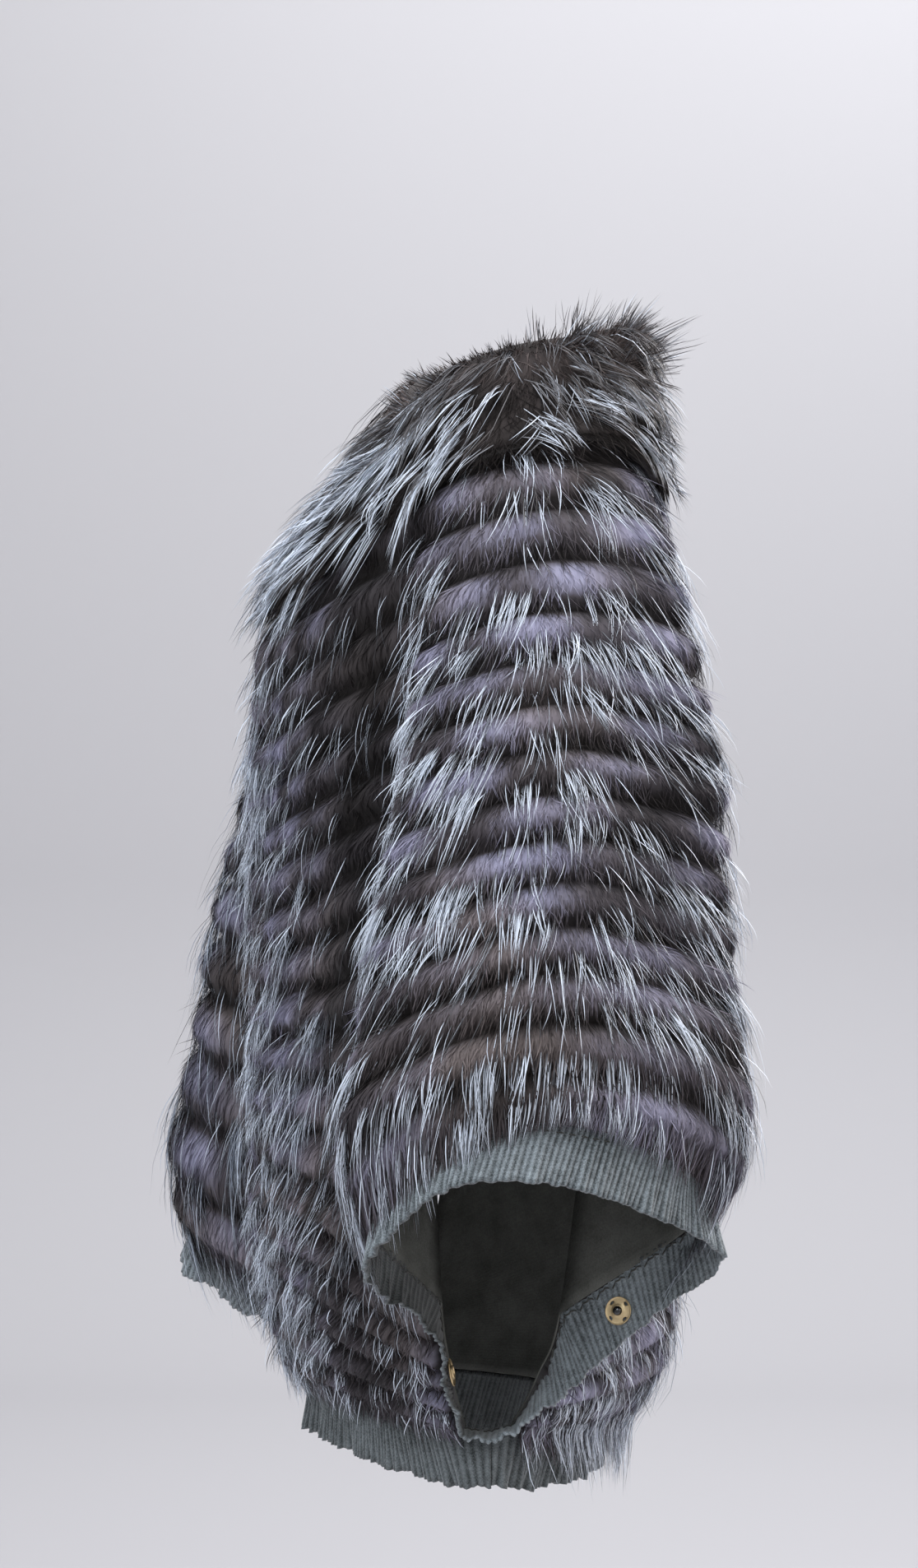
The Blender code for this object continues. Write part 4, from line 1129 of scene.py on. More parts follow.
DRAPE_ROWS = 12
DRAPE_STEP, DRAPE_CLEAR, DRAPE_LIFT, DRAPE_FALL = 0.15, 0.0025, 0.015, 0.80
DRAPE_SMOOTHING, LIP_SMOOTHING, LIP_ROWS = 10, 12, 7


def neck_ring(side):
    """Base points and outward ways of the strips under the collar on one side, front, sleeve and back."""
    strips = np.linspace(0.0, NECK_STRIPS, NECK_STRIPS * ROWS_A_STRIP + 1)
    share = np.linspace(0.0, 1.0, NECK_COLUMNS + 1)
    parts = []
    for panel, across in (("front", share), ("sleeve", share), ("back", share[::-1])):
        end = None if panel == "back" else -1
        parts.append([at(strips)[:, :end] for at in sections(side, panel, across)])
    return [np.concatenate(grids, axis=1) for grids in zip(*parts)]


def ease(rows, times):
    """Smooths rows in place: each becomes half itself and a quarter of both neighbours; the ends stay."""
    for _ in range(times):
        rows[1:-1] = (rows[:-2] + 2.0 * rows[1:-1] + rows[2:]) / 4.0


def collar_half(side, around, shrink):
    """The collar on one side, as rows round its section, and the rows beyond its lip.

    The outer face is, for each around, a cubic Bezier from lip to crown, whose two inner handles stand off
    the panel's fur and off the neck. shrink draws the face in evenly, to leave room for hair, and presses
    the underside down onto the panel's fur by as much. The rows beyond the lip drop from its height onto the
    strips below it, drawn smooth round the neck so that they bridge the valleys.
    """
    base, way = neck_ring(side)
    cols = around / 3.0 * (base.shape[1] - 1)
    reach, stand, lean = curve(COLLAR, around, "reach", "stand", "lean").T

    def pile(strip):
        return pile_height(strip, around, NO_END)

    def over(strip, lift):
        point = sampled(base, strip * ROWS_A_STRIP, cols)
        return point + unit(sampled(way, strip * ROWS_A_STRIP, cols)) * lift[:, None]

    def draped(step):
        strip = reach + DRAPE_STEP * step
        return over(strip, pile(strip) + DRAPE_CLEAR + DRAPE_LIFT * DRAPE_FALL**step)

    neck = sampled(base, np.zeros(len(cols)), cols)
    level = unit(neck * LEVEL)

    def off_neck(out, up):
        return neck + level * out[:, None] + UP * up[:, None]

    flat = 1.0 - smooth_step(around, *COLLAR_FLAT_TO)
    roll = COLLAR_ROLL * (1.0 - (1.0 - COLLAR_FLAT_ROLL) * flat)
    full = COLLAR_FUR * BELLY_OFF * (1.0 - (1.0 - COLLAR_FLAT_BELLY) * flat)
    cover = pile(reach) + LIP_CLEAR
    down = unit(over(reach, cover) - over(reach * LIP_RUN_FROM, cover))
    lip = over(reach, cover + COLLAR_FUR * LIP_AT) + down * COLLAR_LIP
    belly = over(reach * BELLY_AT, pile(reach * BELLY_AT) + LIP_CLEAR + full)
    shoulder = off_neck(lean + roll, stand * SHOULDER_STAND)
    crown = off_neck(lean + roll * CROWN_ROLL, stand)
    turn = np.linspace(0.0, 1.0, COLLAR_ROWS)[:, None, None]
    outer = (1 - turn) ** 3 * lip + 3 * (1 - turn) ** 2 * turn * belly
    outer = outer + 3 * (1 - turn) * turn**2 * shoulder + turn**3 * crown
    inside = [off_neck(lean * out, stand * up) for out, up in NECK_ROWS]
    seam_row = over(0.0 * reach, np.full(len(around), FUR_UNDER_COLLAR + NECK_CLEAR))
    under = [over(reach * share, pile(reach * share) + UNDER_CLEAR) for share in UNDER_ROWS]
    loop = np.concatenate([outer, inside, [seam_row], under])
    pull = np.concatenate([np.ones(COLLAR_ROWS + len(inside)), -np.ones(1 + len(under))])
    loop = loop + unit(loop.mean(0) - loop) * (shrink * pull)[:, None, None]
    beyond = np.stack([draped(step) for step in range(1, DRAPE_ROWS + 1)])
    ease(np.swapaxes(beyond, 0, 1), DRAPE_SMOOTHING)
    return mirrored(loop, side), mirrored(beyond, side)


def collar_loops(shrink):
    """The whole collar as a ring of closed loops: rows round the section, columns round the neck."""
    around = np.linspace(0.0, 3.0, COLLAR_HALF + 1)
    left = collar_half(LEFT, around, shrink)
    right = collar_half(RIGHT, around[1:-1], shrink)
    places = np.concatenate([around, around[1:-1][::-1]])
    loops, beyond = (np.concatenate([one, other[:, ::-1]], axis=1) for one, other in zip(left, right))
    return loops, beyond, places


BODY_SHRINK, HAIR_SHRINK = 0.003, 0.004  # metres that the collar's face lies in from its full form
COLLAR_PATTERN = (0.005, 0.035)  # pattern units: a column round the neck, and metres down the face


def collar_body():
    """The collar's underfur: the ring of loops closed round its section as well."""
    loops = collar_loops(BODY_SHRINK)[0]
    rows, cols = loops.shape[:2]
    faces = grid_faces(rows + 1, cols, ring=True) % (rows * cols)
    points = loops.reshape(-1, 3)
    faces = facing_out(points, faces)[0]
    dark = chosen("coat_fur", "dark")[0]
    material = collar_material("collar_underfur", COLLAR_LIGHT, COLLAR_MID, dark)
    run = np.linalg.norm(np.diff(np.concatenate([loops, loops[:1]]), axis=0), axis=-1)
    v = np.concatenate([np.zeros((1, cols)), np.cumsum(run, axis=0)])[:-1] / COLLAR_PATTERN[1]
    u = np.broadcast_to(np.arange(cols) * COLLAR_PATTERN[0], v.shape)
    pattern = np.stack([u, v], axis=-1).reshape(-1, 2)
    thing = put_mesh("collar_underfur", points, [faces], [material], maps=[("Pile", pattern)])
    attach(thing, "root")
    return thing


COLLAR_GUARD = GUARD._replace(  # lengths in metres here
    tuft=15.0, shortest=0.036, longest=0.066, wide=0.00078, arch=0.006, twist=0.6,
    stations=(0.0, 0.24, 0.50, 0.76, 1.0), widths=(0.45, 0.95, 1.0, 0.70),
)
COLLAR_DOWN = DOWN._replace(shortest=0.014, longest=0.030, twist=0.6)
COLLAR_COMBING = ((0.0, 0.6, 1.2, 1.7, 2.3, 3.0), (0.0, -1.0, -0.7, 0.6, 0.7, 0.0))  # around, and which way
COMB_REACH = 0.024  # share of the neck's round that combing carries a tip
LOCK_SPREAD, LOCK_CLOSES = 0.0048, 0.78  # shares of the neck's round, and of the spread
LOCK_LEAN, HAIR_LEAN = 0.009, 0.0015
LOCK_COMBING = (0.6, 1.2)  # a lock's share of the combing
ROW_STRAY, LEAST_STEP = 0.6, 0.0028  # rows; metres from row to row
BEHIND, STANDING_BACK = (0.9, 1.7), (1.25, 2.1)  # where round the neck the back begins and is reached
COLLAR_BACK_LIMIT = 0.160  # no hair reaches further back, in metres
LYING_DEPTH = -0.002  # metres over the face at a lying hair's root
LYING_TIP = {"guard": (0.001, 0.011), "down": (0.0, 0.003)}  # at its tip, and more for its lock's layer
LYING_ARCH = (0.2, 0.8)
LYING_LENGTHS, LYING_RISE = (0.70, 1.05), (-0.001, 0.002)  # a guard hair's own share, and metres
LOOSE_SHARE, LOOSE_LIFT = 0.35, (0.003, 0.014)
STANDING_LOCK, STANDING_HAIR = (0.35, 1.25), (0.7, 1.1)  # shares of the length by lock and by hair
STANDING_OFF, STANDING_UP, STANDING_BEND = 0.8, 0.55, 0.15
HAIR_ASTRAY, LOCK_ASTRAY = 0.24, 0.35
# Pairs from here on: the value on the chest, and what the back adds to it.
SHORTER_BEHIND = (1.0, -0.42)
FURTHEST_ROW = (COLLAR_ROWS + 9.0, -4.5)
STANDING_ROWS, STANDING_SHARE = (4.0, 5.0), (0.70, -0.25)
STANDING_TALL = {"guard": (0.018, 0.022), "down": (0.012, 0.004)}
STANDING_OUT, STANDING_AHEAD = (0.15, 0.55), (0.9, -0.9)
CROWN_FROM, CROWN_TO = (3.5, 4.0), (11.0, 6.0)
SILVER_BEHIND = (1.30, -0.60)
COLLAR_LIGHT, COLLAR_MID = (0.115, 0.098, 0.098), (0.050, 0.040, 0.038)
COLLAR_HAIR_ROOT = (0.046, 0.035, 0.031)
COLLAR_DOWN_LIGHT, COLLAR_DOWN_MID = (0.21, 0.168, 0.158), (0.080, 0.062, 0.058)
COLLAR_PATCH_SEED = 51


def combed_face():
    """The collar's outer face from crown to past its rounded lip, the ways off it, and around by column."""
    loops, beyond, places = collar_loops(HAIR_SHRINK)
    face = np.concatenate([loops[:COLLAR_ROWS][::-1], beyond])
    ease(face[COLLAR_ROWS - LIP_ROWS :], LIP_SMOOTHING)
    ring = np.concatenate([face, face[:, :1]], axis=1)
    out = unit(np.cross(np.gradient(ring, axis=0), np.gradient(ring, axis=1)))
    out = out * np.sign((out * ring).sum(-1).mean())
    return ring, out, np.append(places, 0.0)


Rooted = namedtuple("Rooted", "locks lock row middle around behind bright lean spread")


def rooted_locks(coat, count, places, random):
    """Where each hair of the collar roots: its lock, row and place round, and its brightness and lean.

    behind goes from 0 on the chest to 1 on the shoulders and the back.
    """
    guard = coat.word == "guard"
    locks = int(count / coat.tuft)
    lock = random.integers(0, locks, count) if guard else np.arange(count)
    middle = random.uniform(0.0, 1.0, locks)[lock]
    around = np.interp(middle * (len(places) - 1), np.arange(len(places)), places)
    row = random.uniform(0.0, COLLAR_ROWS - 1.0, locks)[lock] + random.normal(0.0, ROW_STRAY, count)
    bright = random.uniform(0.0, 1.0, locks)[lock]
    sideways = random.normal(0.0, LOCK_LEAN, locks)[lock] + random.normal(0.0, HAIR_LEAN, count)
    spread = random.normal(0.0, LOCK_SPREAD, count) if guard else np.zeros(count)
    turn = np.where(middle < 0.5, 1.0, -1.0)
    comb = np.interp(around, *COLLAR_COMBING) * COMB_REACH
    lean = comb * turn * random.uniform(*LOCK_COMBING, locks)[lock] + sideways
    row = np.clip(row, 0.1, COLLAR_ROWS - 0.5)
    behind = smooth_step(around, *BEHIND)
    return Rooted(locks, lock, row, middle, around, behind, bright, lean, spread)


def lying_locks(coat, hair, ring, out, share, random):
    """Hair that follows the collar's outer face, past the lip too, at a height that its lock sets.

    A lock's tips draw together. Some locks of guard hair lie loose, so that their tips lift off the rest.
    """
    guard = coat.word == "guard"
    count, locks, lock, row = len(hair.row), hair.locks, hair.lock, hair.row
    reach = random.uniform(coat.shortest, coat.longest, locks)[lock]
    if guard:
        reach = reach * random.uniform(*LYING_LENGTHS, count) * grown(SHORTER_BEHIND, hair.behind)
    cols = ring.shape[1] - 1
    start = (hair.middle + hair.spread) % 1.0
    face_run = np.linalg.norm(np.diff(ring, axis=0), axis=-1)
    step = sampled(face_run[..., None], row, start * (cols - 1))[..., 0]
    furthest = grown(FURTHEST_ROW, hair.behind) + random.normal(0.0, 1.0, count)
    rows_long = np.minimum(reach / np.maximum(step, LEAST_STEP), np.maximum(furthest - row, 3.0))
    down = np.minimum(row[:, None] + rows_long[:, None] * share, ring.shape[0] - 1.01)
    across = start[:, None] + hair.lean[:, None] * share**1.3 - hair.spread[:, None] * LOCK_CLOSES * share
    base = sampled(ring, down, across % 1.0 * cols)
    way = unit(sampled(out, down, across % 1.0 * cols))
    layer = random.uniform(0.0, 1.0, locks)[lock][:, None]
    high = grown(LYING_TIP[coat.word], layer)
    if guard:
        high = high + random.uniform(*LYING_RISE, (count, 1))
    height = arched(LYING_DEPTH, high, coat.arch * grown(LYING_ARCH, layer), share)
    loose = (random.uniform(0.0, 1.0, locks) < LOOSE_SHARE)[lock][:, None]
    lift = loose * random.uniform(*LOOSE_LIFT, (count, 1))
    if guard:
        height = height + lift * share**2
    return base + way * height[..., None], way[:, 0]


def standing_locks(coat, hair, path, way, share, random):
    """The paths, with some of those that root near the crown stood up and outwards, longest at the back.

    They aim off the face, out and up and ahead along the lying hair, each lock and each hair a little astray.
    """
    count, locks, lock = len(hair.row), hair.locks, hair.lock
    back = smooth_step(hair.around, *STANDING_BACK)
    standing = hair.row < grown(STANDING_ROWS, back)
    standing = standing & (random.uniform(0, 1, count) < grown(STANDING_SHARE, back))
    tall = grown(STANDING_TALL[coat.word], back)
    tall = tall * random.uniform(*STANDING_LOCK, locks)[lock] * random.uniform(*STANDING_HAIR, count)
    root, ahead = path[:, 0], unit(path[:, 2] - path[:, 0])
    flat = unit(root * LEVEL)
    aim = way * STANDING_OFF + flat * grown(STANDING_OUT, back)[:, None]
    aim = aim + ahead * grown(STANDING_AHEAD, back)[:, None] + STANDING_UP * UP
    aim = unit(aim + random.normal(0.0, HAIR_ASTRAY, (count, 3)))
    aim = unit(aim + unit(random.normal(0.0, 1.0, (locks, 3)))[lock] * LOCK_ASTRAY)
    stood = root[:, None] + aim[:, None] * (tall[:, None] * share)[..., None]
    stood = stood + flat[:, None] * (STANDING_BEND * tall[:, None] * share**2)[..., None]
    return np.where(standing[:, None, None], stood, path)


def collar_hair(name, coat, count, seed):
    """The collar's hair, in locks combed from the crown down over the lip, forwards in front, back behind."""
    random = np.random.default_rng(seed)
    ring, out, places = combed_face()
    hair = rooted_locks(coat, count, places, random)
    share = np.broadcast_to(coat.stations, (count, len(coat.stations)))
    path, way = lying_locks(coat, hair, ring, out, share, random)
    path = standing_locks(coat, hair, path, way, share, random)
    path = np.minimum(path, np.array([1.0, COLLAR_BACK_LIMIT, 1.0]))
    if coat.word == "guard":
        behind = hair.behind
        crown = 1.0 - smooth_step(hair.row, grown(CROWN_FROM, behind), grown(CROWN_TO, behind))
        silver = bpy.context.scene.coat_fur.white_share * (1.0 - 0.9 * crown)
        tone = silvered(hair.bright**1.5, silver * grown(SILVER_BEHIND, behind), random)
        bright = chosen("coat_fur", "hair_bright")[0]
        finish = hair_material("collar_guard_hair", bright, COLLAR_HAIR_ROOT)
    else:
        crown = 1.0 - smooth_step(hair.row, 4.0, 10.0)
        patch = wander(COLLAR_PATCH_SEED, hair.around * 5.0, np.floor(hair.row / 3.0))
        tone = (0.03 + 0.52 * crown) * (1.0 + 0.7 * patch) * random.uniform(0.6, 1.3, count)
        tone = np.clip(tone, 0.0, 1.0)
        dark = chosen("coat_fur", "dark")[0]
        finish = down_material("brown_down", COLLAR_DOWN_LIGHT, COLLAR_DOWN_MID, dark)
    widths = hair_widths(count, coat, random)
    thing = blades(name, path, widths, way, tone, finish, random.normal(0.0, coat.twist, count))
    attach(thing, "root")
    return thing


# ---- The rib bands.

KNIT_RIBS_A_RIB = 3  # fine knitted ribs on each rib of the solid
COLUMNS_A_RIB = 4
BAND_ROWS = 13
STITCHES_DOWN = 16.0
RIB_DEPTH = 0.0015
INNER_RIB_SHARE = 0.80  # of the outer ribs' depth
BROAD_RISE, INNER_SET, OUTER_AT = 0.0008, 0.0004, 0.60  # metres, metres, and a share of BAND_WALL
SCALLOP, SAG = 0.020, 0.034  # shares of the fall that a rib, and the wander, add at the free edge
OUTER_CREST, INNER_CREST = 0.55, 1.8  # powers: full ribs outside, narrow ones inside
BAND_WAVE, BAND_CURL = 0.0024, 0.0016  # metres that a band waves in and out, and that its edge curls
CUFF_TUCK, CUFF_OFF = 0.0030, 0.0008  # metres that a cuff band's root lies under the panel and out from it
HEM_OFF = 0.0010
HEM_PAINTED_SHADE, HEM_INNER_PAINTED_SHADE = 0.50, 0.6  # how light the hem band is, and its inner face's share of that, as painted shade: 1 is the rib knit's own colours
INNER_FACE_SHADE = ((0.0, 0.8, 1.4, 2.3, 2.8, 4.0, 5.0), (0.20, 0.14, 0.30, 0.70, 1.00, 1.15, 0.65))  # along, and how light a cuff band's inner face is: painted shade, darkest on the front part
FREE_SWING = ((0.0, 1.0, 1.5, 2.0, 3.0, 4.0, 5.0), (0.1, 0.9, 1.0, 0.45, 0.25, 0.05, 0.1))  # along, share
SIDE_SEAM_WAYS = (0.25, 0.0, -0.97), (0.97, 0.0, 0.25)  # a cuff's wall and its run off the panel there
THREAD_SIDES = 6
# the root loops are near black: painted shadow under each arch
LOOP_RADIUS, LOOP_SHADOW_TONE = 0.0007, 0.02
STITCHES, STITCH_RADIUS, STITCH_TONE = 18, 0.0006, 0.05
STITCHED = 0.30, 0.50  # from and to, as shares of the way round the opening
STITCH_ROW, STITCH_HALF = 2.2, 0.32  # the row it lies on, and half a stitch's share of its pitch


def opening_rim(side):
    """An opening's rim at the panels' rows and columns: along, points, wall ways and ways off the panel."""
    strips = np.arange(BODY_STRIPS, SLEEVE_STRIPS - 1, -1.0)
    parts = []
    for which in ("front", "back"):
        points, ways = (at(strips)[:, 0] for at in sections(side, which, np.array([1.0])))
        beyond = unit(np.cross(np.gradient(points, axis=0), ways))
        parts.append((points, ways, beyond * np.sign(beyond[:, :1])))
    across = np.linspace(0.0, 1.0, SLEEVE_COLUMNS + 1)
    last = np.array([float(SLEEVE_STRIPS)])
    inner_at, way_at = sections(side, "sleeve", across)
    points = inner_at(last)[0]
    sleeve = points, way_at(last)[0], unit(points - inner_at(last - 0.1)[0])
    joined = [
        np.concatenate([front[:-1], middle, back[::-1][1:], [low], front[:1]])
        for front, middle, back, low in zip(parts[0], sleeve, parts[1], (SIDE_SEAM_ROOT, *SIDE_SEAM_WAYS))
    ]
    step = np.linspace(0.0, 1.0, len(strips))
    along = np.concatenate([step[:-1], 1.0 + 2.0 * across, 3.0 + step[1:], [4.5, ALONG_END]])
    return along, *joined


def straight(at, knots, points):
    """Places on the straight runs between points that stand at knots."""
    return np.stack([np.interp(at, knots, points[:, axis]) for axis in range(3)], axis=1)


def opening_root(side, along):
    """The band's seam round an opening: its points, wall ways and ways off the panel."""
    knots, *rims = opening_rim(side)
    points, ways, beyond = (straight(along, knots, rim) for rim in rims)
    return points, unit(ways), unit(beyond)


def free_edge(side, along):
    """The band's free edge: a cubic through its table, with the side's hang."""
    table = FREE_EDGE + [FREE_EDGE[0]._replace(along=ALONG_END)]
    share = np.interp(along, *FREE_SWING)
    return curve(table, along, "x", "y", "z") + swing(side, np.full(len(along), SWING_TO), share)


def cuff_stations(count):
    """Places along the opening at even distances on its free edge."""
    fine = np.linspace(0.0, ALONG_END, 400)
    run = np.concatenate([[0.0], np.cumsum(np.linalg.norm(np.diff(free_edge(LEFT, fine), axis=0), axis=1))])
    return np.interp(np.arange(count) / count * run[-1], run, fine)


def rib_wall(root, root_way, free, free_way, columns, seed):
    """A band's inner and outer grids.

    Points go from root to free edge, ways from root_way to free_way within the first half. Both faces rise
    by a raised cosine on each knitted rib, and by a smaller one on each rib of the solid. The free edge runs
    in small scallops, one a rib, and the band waves softly in and out, most at its edge.
    """
    share = np.linspace(0.0, 1.0, BAND_ROWS)[:, None]
    place = np.arange(columns)[None, :] / COLUMNS_A_RIB
    crest = 0.5 - 0.5 * np.cos(TAU * place)
    broad = 0.5 - 0.5 * np.cos(TAU * place / KNIT_RIBS_A_RIB)
    around = np.arange(columns)[None, :] / columns * 3.0
    soft = wander(seed, around, 0.0, lowest=5.0, highest=16.0)
    soft = soft + 0.8 * wander(seed + 9, around, 0.0, lowest=20.0, highest=48.0)
    curl = BAND_CURL * wander(seed + 5, around, 0.0, lowest=24.0, highest=70.0) * smooth_step(share, 0.6, 1.0)
    fall = (free - root)[None] * share[..., None]
    fall = fall * (1.0 + share * (SCALLOP * crest + SAG * soft))[..., None]
    turn = smooth_step(share, 0.0, 0.5)[..., None]
    way = unit(root_way[None] * (1 - turn) + free_way[None] * turn)
    slack = BAND_WAVE * soft * share**1.5 + BROAD_RISE * broad
    outer = BAND_WALL * OUTER_AT + RIB_DEPTH * crest**OUTER_CREST + slack + curl
    inner = RIB_DEPTH * INNER_RIB_SHARE * crest**INNER_CREST - INNER_SET + slack + curl
    middle = root[None] + fall
    pattern = np.stack(np.broadcast_arrays(place, share * STITCHES_DOWN), axis=-1)
    return middle + way * inner[..., None], middle + way * outer[..., None], pattern


def tubes(name, path, radius, material, tone):
    """Runs of thread: each path a tube whose ends are drawn to points. tone is the rib knit's."""
    count, stations = path.shape[:2]
    run = unit(np.gradient(path, axis=1))
    side = unit(np.cross(run, np.array([0.3, 0.5, 0.81])))
    up = np.cross(run, side)
    angle = np.arange(THREAD_SIDES) / THREAD_SIDES * TAU
    taper = np.sqrt(np.clip(1.0 - (2.0 * np.linspace(0.0, 1.0, stations) - 1.0) ** 6, 0.02, 1.0)) * radius
    ring = np.cos(angle)[:, None] * side[:, :, None] + np.sin(angle)[:, None] * up[:, :, None]
    points = (path[:, :, None] + ring * taper[None, :, None, None]).reshape(-1, 3)
    first = (np.arange(count) * stations * THREAD_SIDES)[:, None]
    quads = (first[..., None] + grid_faces(stations, THREAD_SIDES, ring=True)).reshape(-1, 4)
    start = first + np.arange(THREAD_SIDES)[::-1]
    end = first + (stations - 1) * THREAD_SIDES + np.arange(THREAD_SIDES)
    quads, start, end = facing_out(points, quads, start, end)
    along = np.broadcast_to(np.linspace(0.1, 0.9, stations)[:, None], (count, stations, THREAD_SIDES)).ravel()
    laid = np.stack([np.full(len(along), 0.5), along * STITCHES_DOWN], axis=-1)
    return put_mesh(
        name, points, [quads, np.concatenate([start, end])], [material], maps=[("Pile", laid)],
        values=np.full(len(points), tone),
    )


def root_loops(name, inner, columns, material):
    """The loops in which the knitted ribs start on a band's inside: an arch over each rib of the solid, near
    black as painted shadow under it.
    """
    step = COLUMNS_A_RIB * KNIT_RIBS_A_RIB
    lap = np.linspace(0.0, 1.0, 9)[None, :]
    middle = (np.arange(columns // step) * step)[:, None] + step * 0.5
    col = (middle + step * 0.42 * np.cos(np.pi * (1.0 - lap))) % columns
    row = 1.9 - 0.95 * np.sin(np.pi * lap) + 0.5 * lap
    ring = np.concatenate([inner, inner[:, :1]], axis=1)
    path = sampled(ring, row, col)
    out = unit(np.cross(np.gradient(ring, axis=0), np.gradient(ring, axis=1)))
    way = unit(sampled(out, row, col))
    way = way * np.sign((way * (path.mean((0, 1)) - path)).sum(-1, keepdims=True).mean())
    return tubes(name, path + way * 0.0005, radius=LOOP_RADIUS, material=material, tone=LOOP_SHADOW_TONE)


def running_stitch(name, outer, columns, material):
    """Dark dashes of the seam that holds the band, along the upper part of its root."""
    first, last = STITCHED[0] * columns, STITCHED[1] * columns
    middle = np.linspace(first, last, STITCHES)[:, None]
    col = middle + np.linspace(-STITCH_HALF, STITCH_HALF, 7)[None, :] * (last - first) / STITCHES
    at = np.full(col.shape, STITCH_ROW)
    path = sampled(outer, at, col)
    way = unit(np.cross(sampled(outer, at, col + 1.0) - path, sampled(outer, at + 1.0, col) - path))
    way = way * np.sign(way[..., :1].mean())
    return tubes(name, path + way * STITCH_RADIUS, radius=STITCH_RADIUS, material=material, tone=STITCH_TONE)


def rib_knit():
    """The bands' finish."""
    return rib_material("rib_knit", *chosen("coat_knit", "rib_light", "rib_dark"))


def cuff_band(name, side, seed):
    """The rib band round an arm opening."""
    columns = CUFF_RIBS * KNIT_RIBS_A_RIB * COLUMNS_A_RIB
    along = cuff_stations(columns)
    free = free_edge(side, along)
    root, root_way, beyond = opening_root(side, along)
    across = free - root
    run = np.roll(free, -COLUMNS_A_RIB, axis=0) - np.roll(free, COLUMNS_A_RIB, axis=0)
    free_way = unit(np.cross(across, run))
    free_way = free_way * np.sign((free_way * root_way).sum(1, keepdims=True))
    start = root - beyond * CUFF_TUCK + root_way * CUFF_OFF
    inner, outer, pattern = rib_wall(start, root_way, free, free_way, columns, seed)
    inner, outer = mirrored(inner, side), mirrored(outer, side)
    thing = closed_wall(
        f"{name}_ribs", inner, outer, [rib_knit()], pattern, ring=True, tone=np.ones(pattern.shape[:2]),
        inner_tone=np.interp(along, *INNER_FACE_SHADE)[None, :],
    )
    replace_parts(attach(thing, "root"), name)
    loops = root_loops(f"{name}_loops", inner, columns, rib_knit())
    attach(loops, "root")
    stitches = running_stitch(f"{name}_stitches", outer, columns, rib_knit())
    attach(stitches, "root")
    length = np.linalg.norm(np.diff(np.vstack([free, free[:1]]), axis=0), axis=1).sum()
    height = np.linalg.norm(across, axis=1).mean()
    return thing, (float(length), float(height))


def hem_half(side, which, places):
    """One side of a hem band, by places from the middle to the side seam: root, root's ways, free edge.

    The root follows the panel's rim and leaves it near the side seam. The free edge's x grows evenly, its y
    to EDGE_POWER and its z with the square, and the side seam draws it up a little.
    """
    knots = np.linspace(0.0, 1.0, BODY_COLUMNS_HALF + 1)
    last = np.array([float(BODY_STRIPS)])
    inner_at, way_at = sections(side, which, knots)
    rim = inner_at(last)[0]
    run = unit(rim - inner_at(last - 0.1)[0])
    on_rim = np.minimum(places, HEM_LEAVES)
    root, way, beyond = (straight(on_rim, knots, line) for line in (rim, way_at(last)[0], run))
    leave = np.clip((places - HEM_LEAVES) / (1.0 - HEM_LEAVES), 0.0, 1.0)[:, None]
    root = root + beyond * SEAM_GAP * 1.5 + way * HEM_OFF
    root = root + (np.array(HEM_SIDE_ROOT) - root) * leave
    way = unit(way * (1.0 - leave) + np.array([1.0, 0.0, 0.0]) * leave)
    middle_y, middle_z = (HEM_FRONT_Y, HEM_FRONT_Z) if which == "front" else (HEM_BACK_Y, HEM_BACK_Z)
    end = np.stack([
        HEM_SIDE[0] * places,
        middle_y + (HEM_SIDE[1] - middle_y) * places**EDGE_POWER,
        middle_z + (HEM_SIDE[2] - middle_z) * places**2 + HEM_TUCK * bell(1.0 - places, 0.0, 0.07),
    ], axis=1)
    return [mirrored(line, side) for line in (root, way, end)]


def hem_band(name, which, seed):
    """Half of the hem's rib band."""
    columns = HEM_RIBS_EACH * KNIT_RIBS_A_RIB * COLUMNS_A_RIB + 1
    along = np.linspace(-1.0, 1.0, columns)
    right, left = hem_half(RIGHT, which, -along[along < 0]), hem_half(LEFT, which, along[along >= 0])
    root, way, end = (np.concatenate(lines) for lines in zip(right, left))
    inner, outer, pattern = rib_wall(root, way, end, unit(way * LEVEL), columns, seed)
    towards = np.array([0.0, -1.0 if which == "front" else 1.0, 0.0]) * SEAM_GAP
    inner[:, [0, -1]] += towards
    outer[:, [0, -1]] += towards
    thing = closed_wall(
        f"{name}_ribs", inner, outer, [rib_knit()], pattern, tone=np.full(pattern.shape[:2], HEM_PAINTED_SHADE),
        inner_tone=HEM_INNER_PAINTED_SHADE,
    )
    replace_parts(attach(thing, "root"), name)
    width = np.linalg.norm(np.diff(end, axis=0), axis=1).sum()
    height = np.linalg.norm(end - root, axis=1).mean()
    return thing, (float(width), float(height))


# ---- The press fasteners.

# Radius and height over the plate's back, in metres.
PLATE_RIM = (
    (0.0001, 0.0), (0.0102, 0.0), (0.0105, 0.0003), (0.0105, 0.0009), (0.0104, 0.0012), (0.0102, 0.0013),
    (0.0100, 0.0012), (0.0098, 0.0008), (0.0094, 0.0007), (0.0062, 0.0010),
)
PLATE_MIDDLE = {
    "stud": ((0.0046, 0.0011), (0.0040, 0.0016), (0.0035, 0.0016), (0.0001, 0.0016)),
    "socket": (
        (0.0052, 0.0012), (0.0050, 0.0024), (0.0046, 0.0026), (0.0040, 0.0026), (0.0037, 0.0023),
        (0.0037, 0.0012), (0.0001, 0.0012),
    ),
}
BALL = (
    (0.0001, 0.0014), (0.0036, 0.0015), (0.0030, 0.0020), (0.0034, 0.0029), (0.0032, 0.0036),
    (0.0024, 0.0042), (0.0013, 0.0045), (0.0001, 0.0046),
)
TURNED_STEPS = 64
SLOTS, SLOT_STEPS = 4, 24  # sewing slots in a plate, and points round each
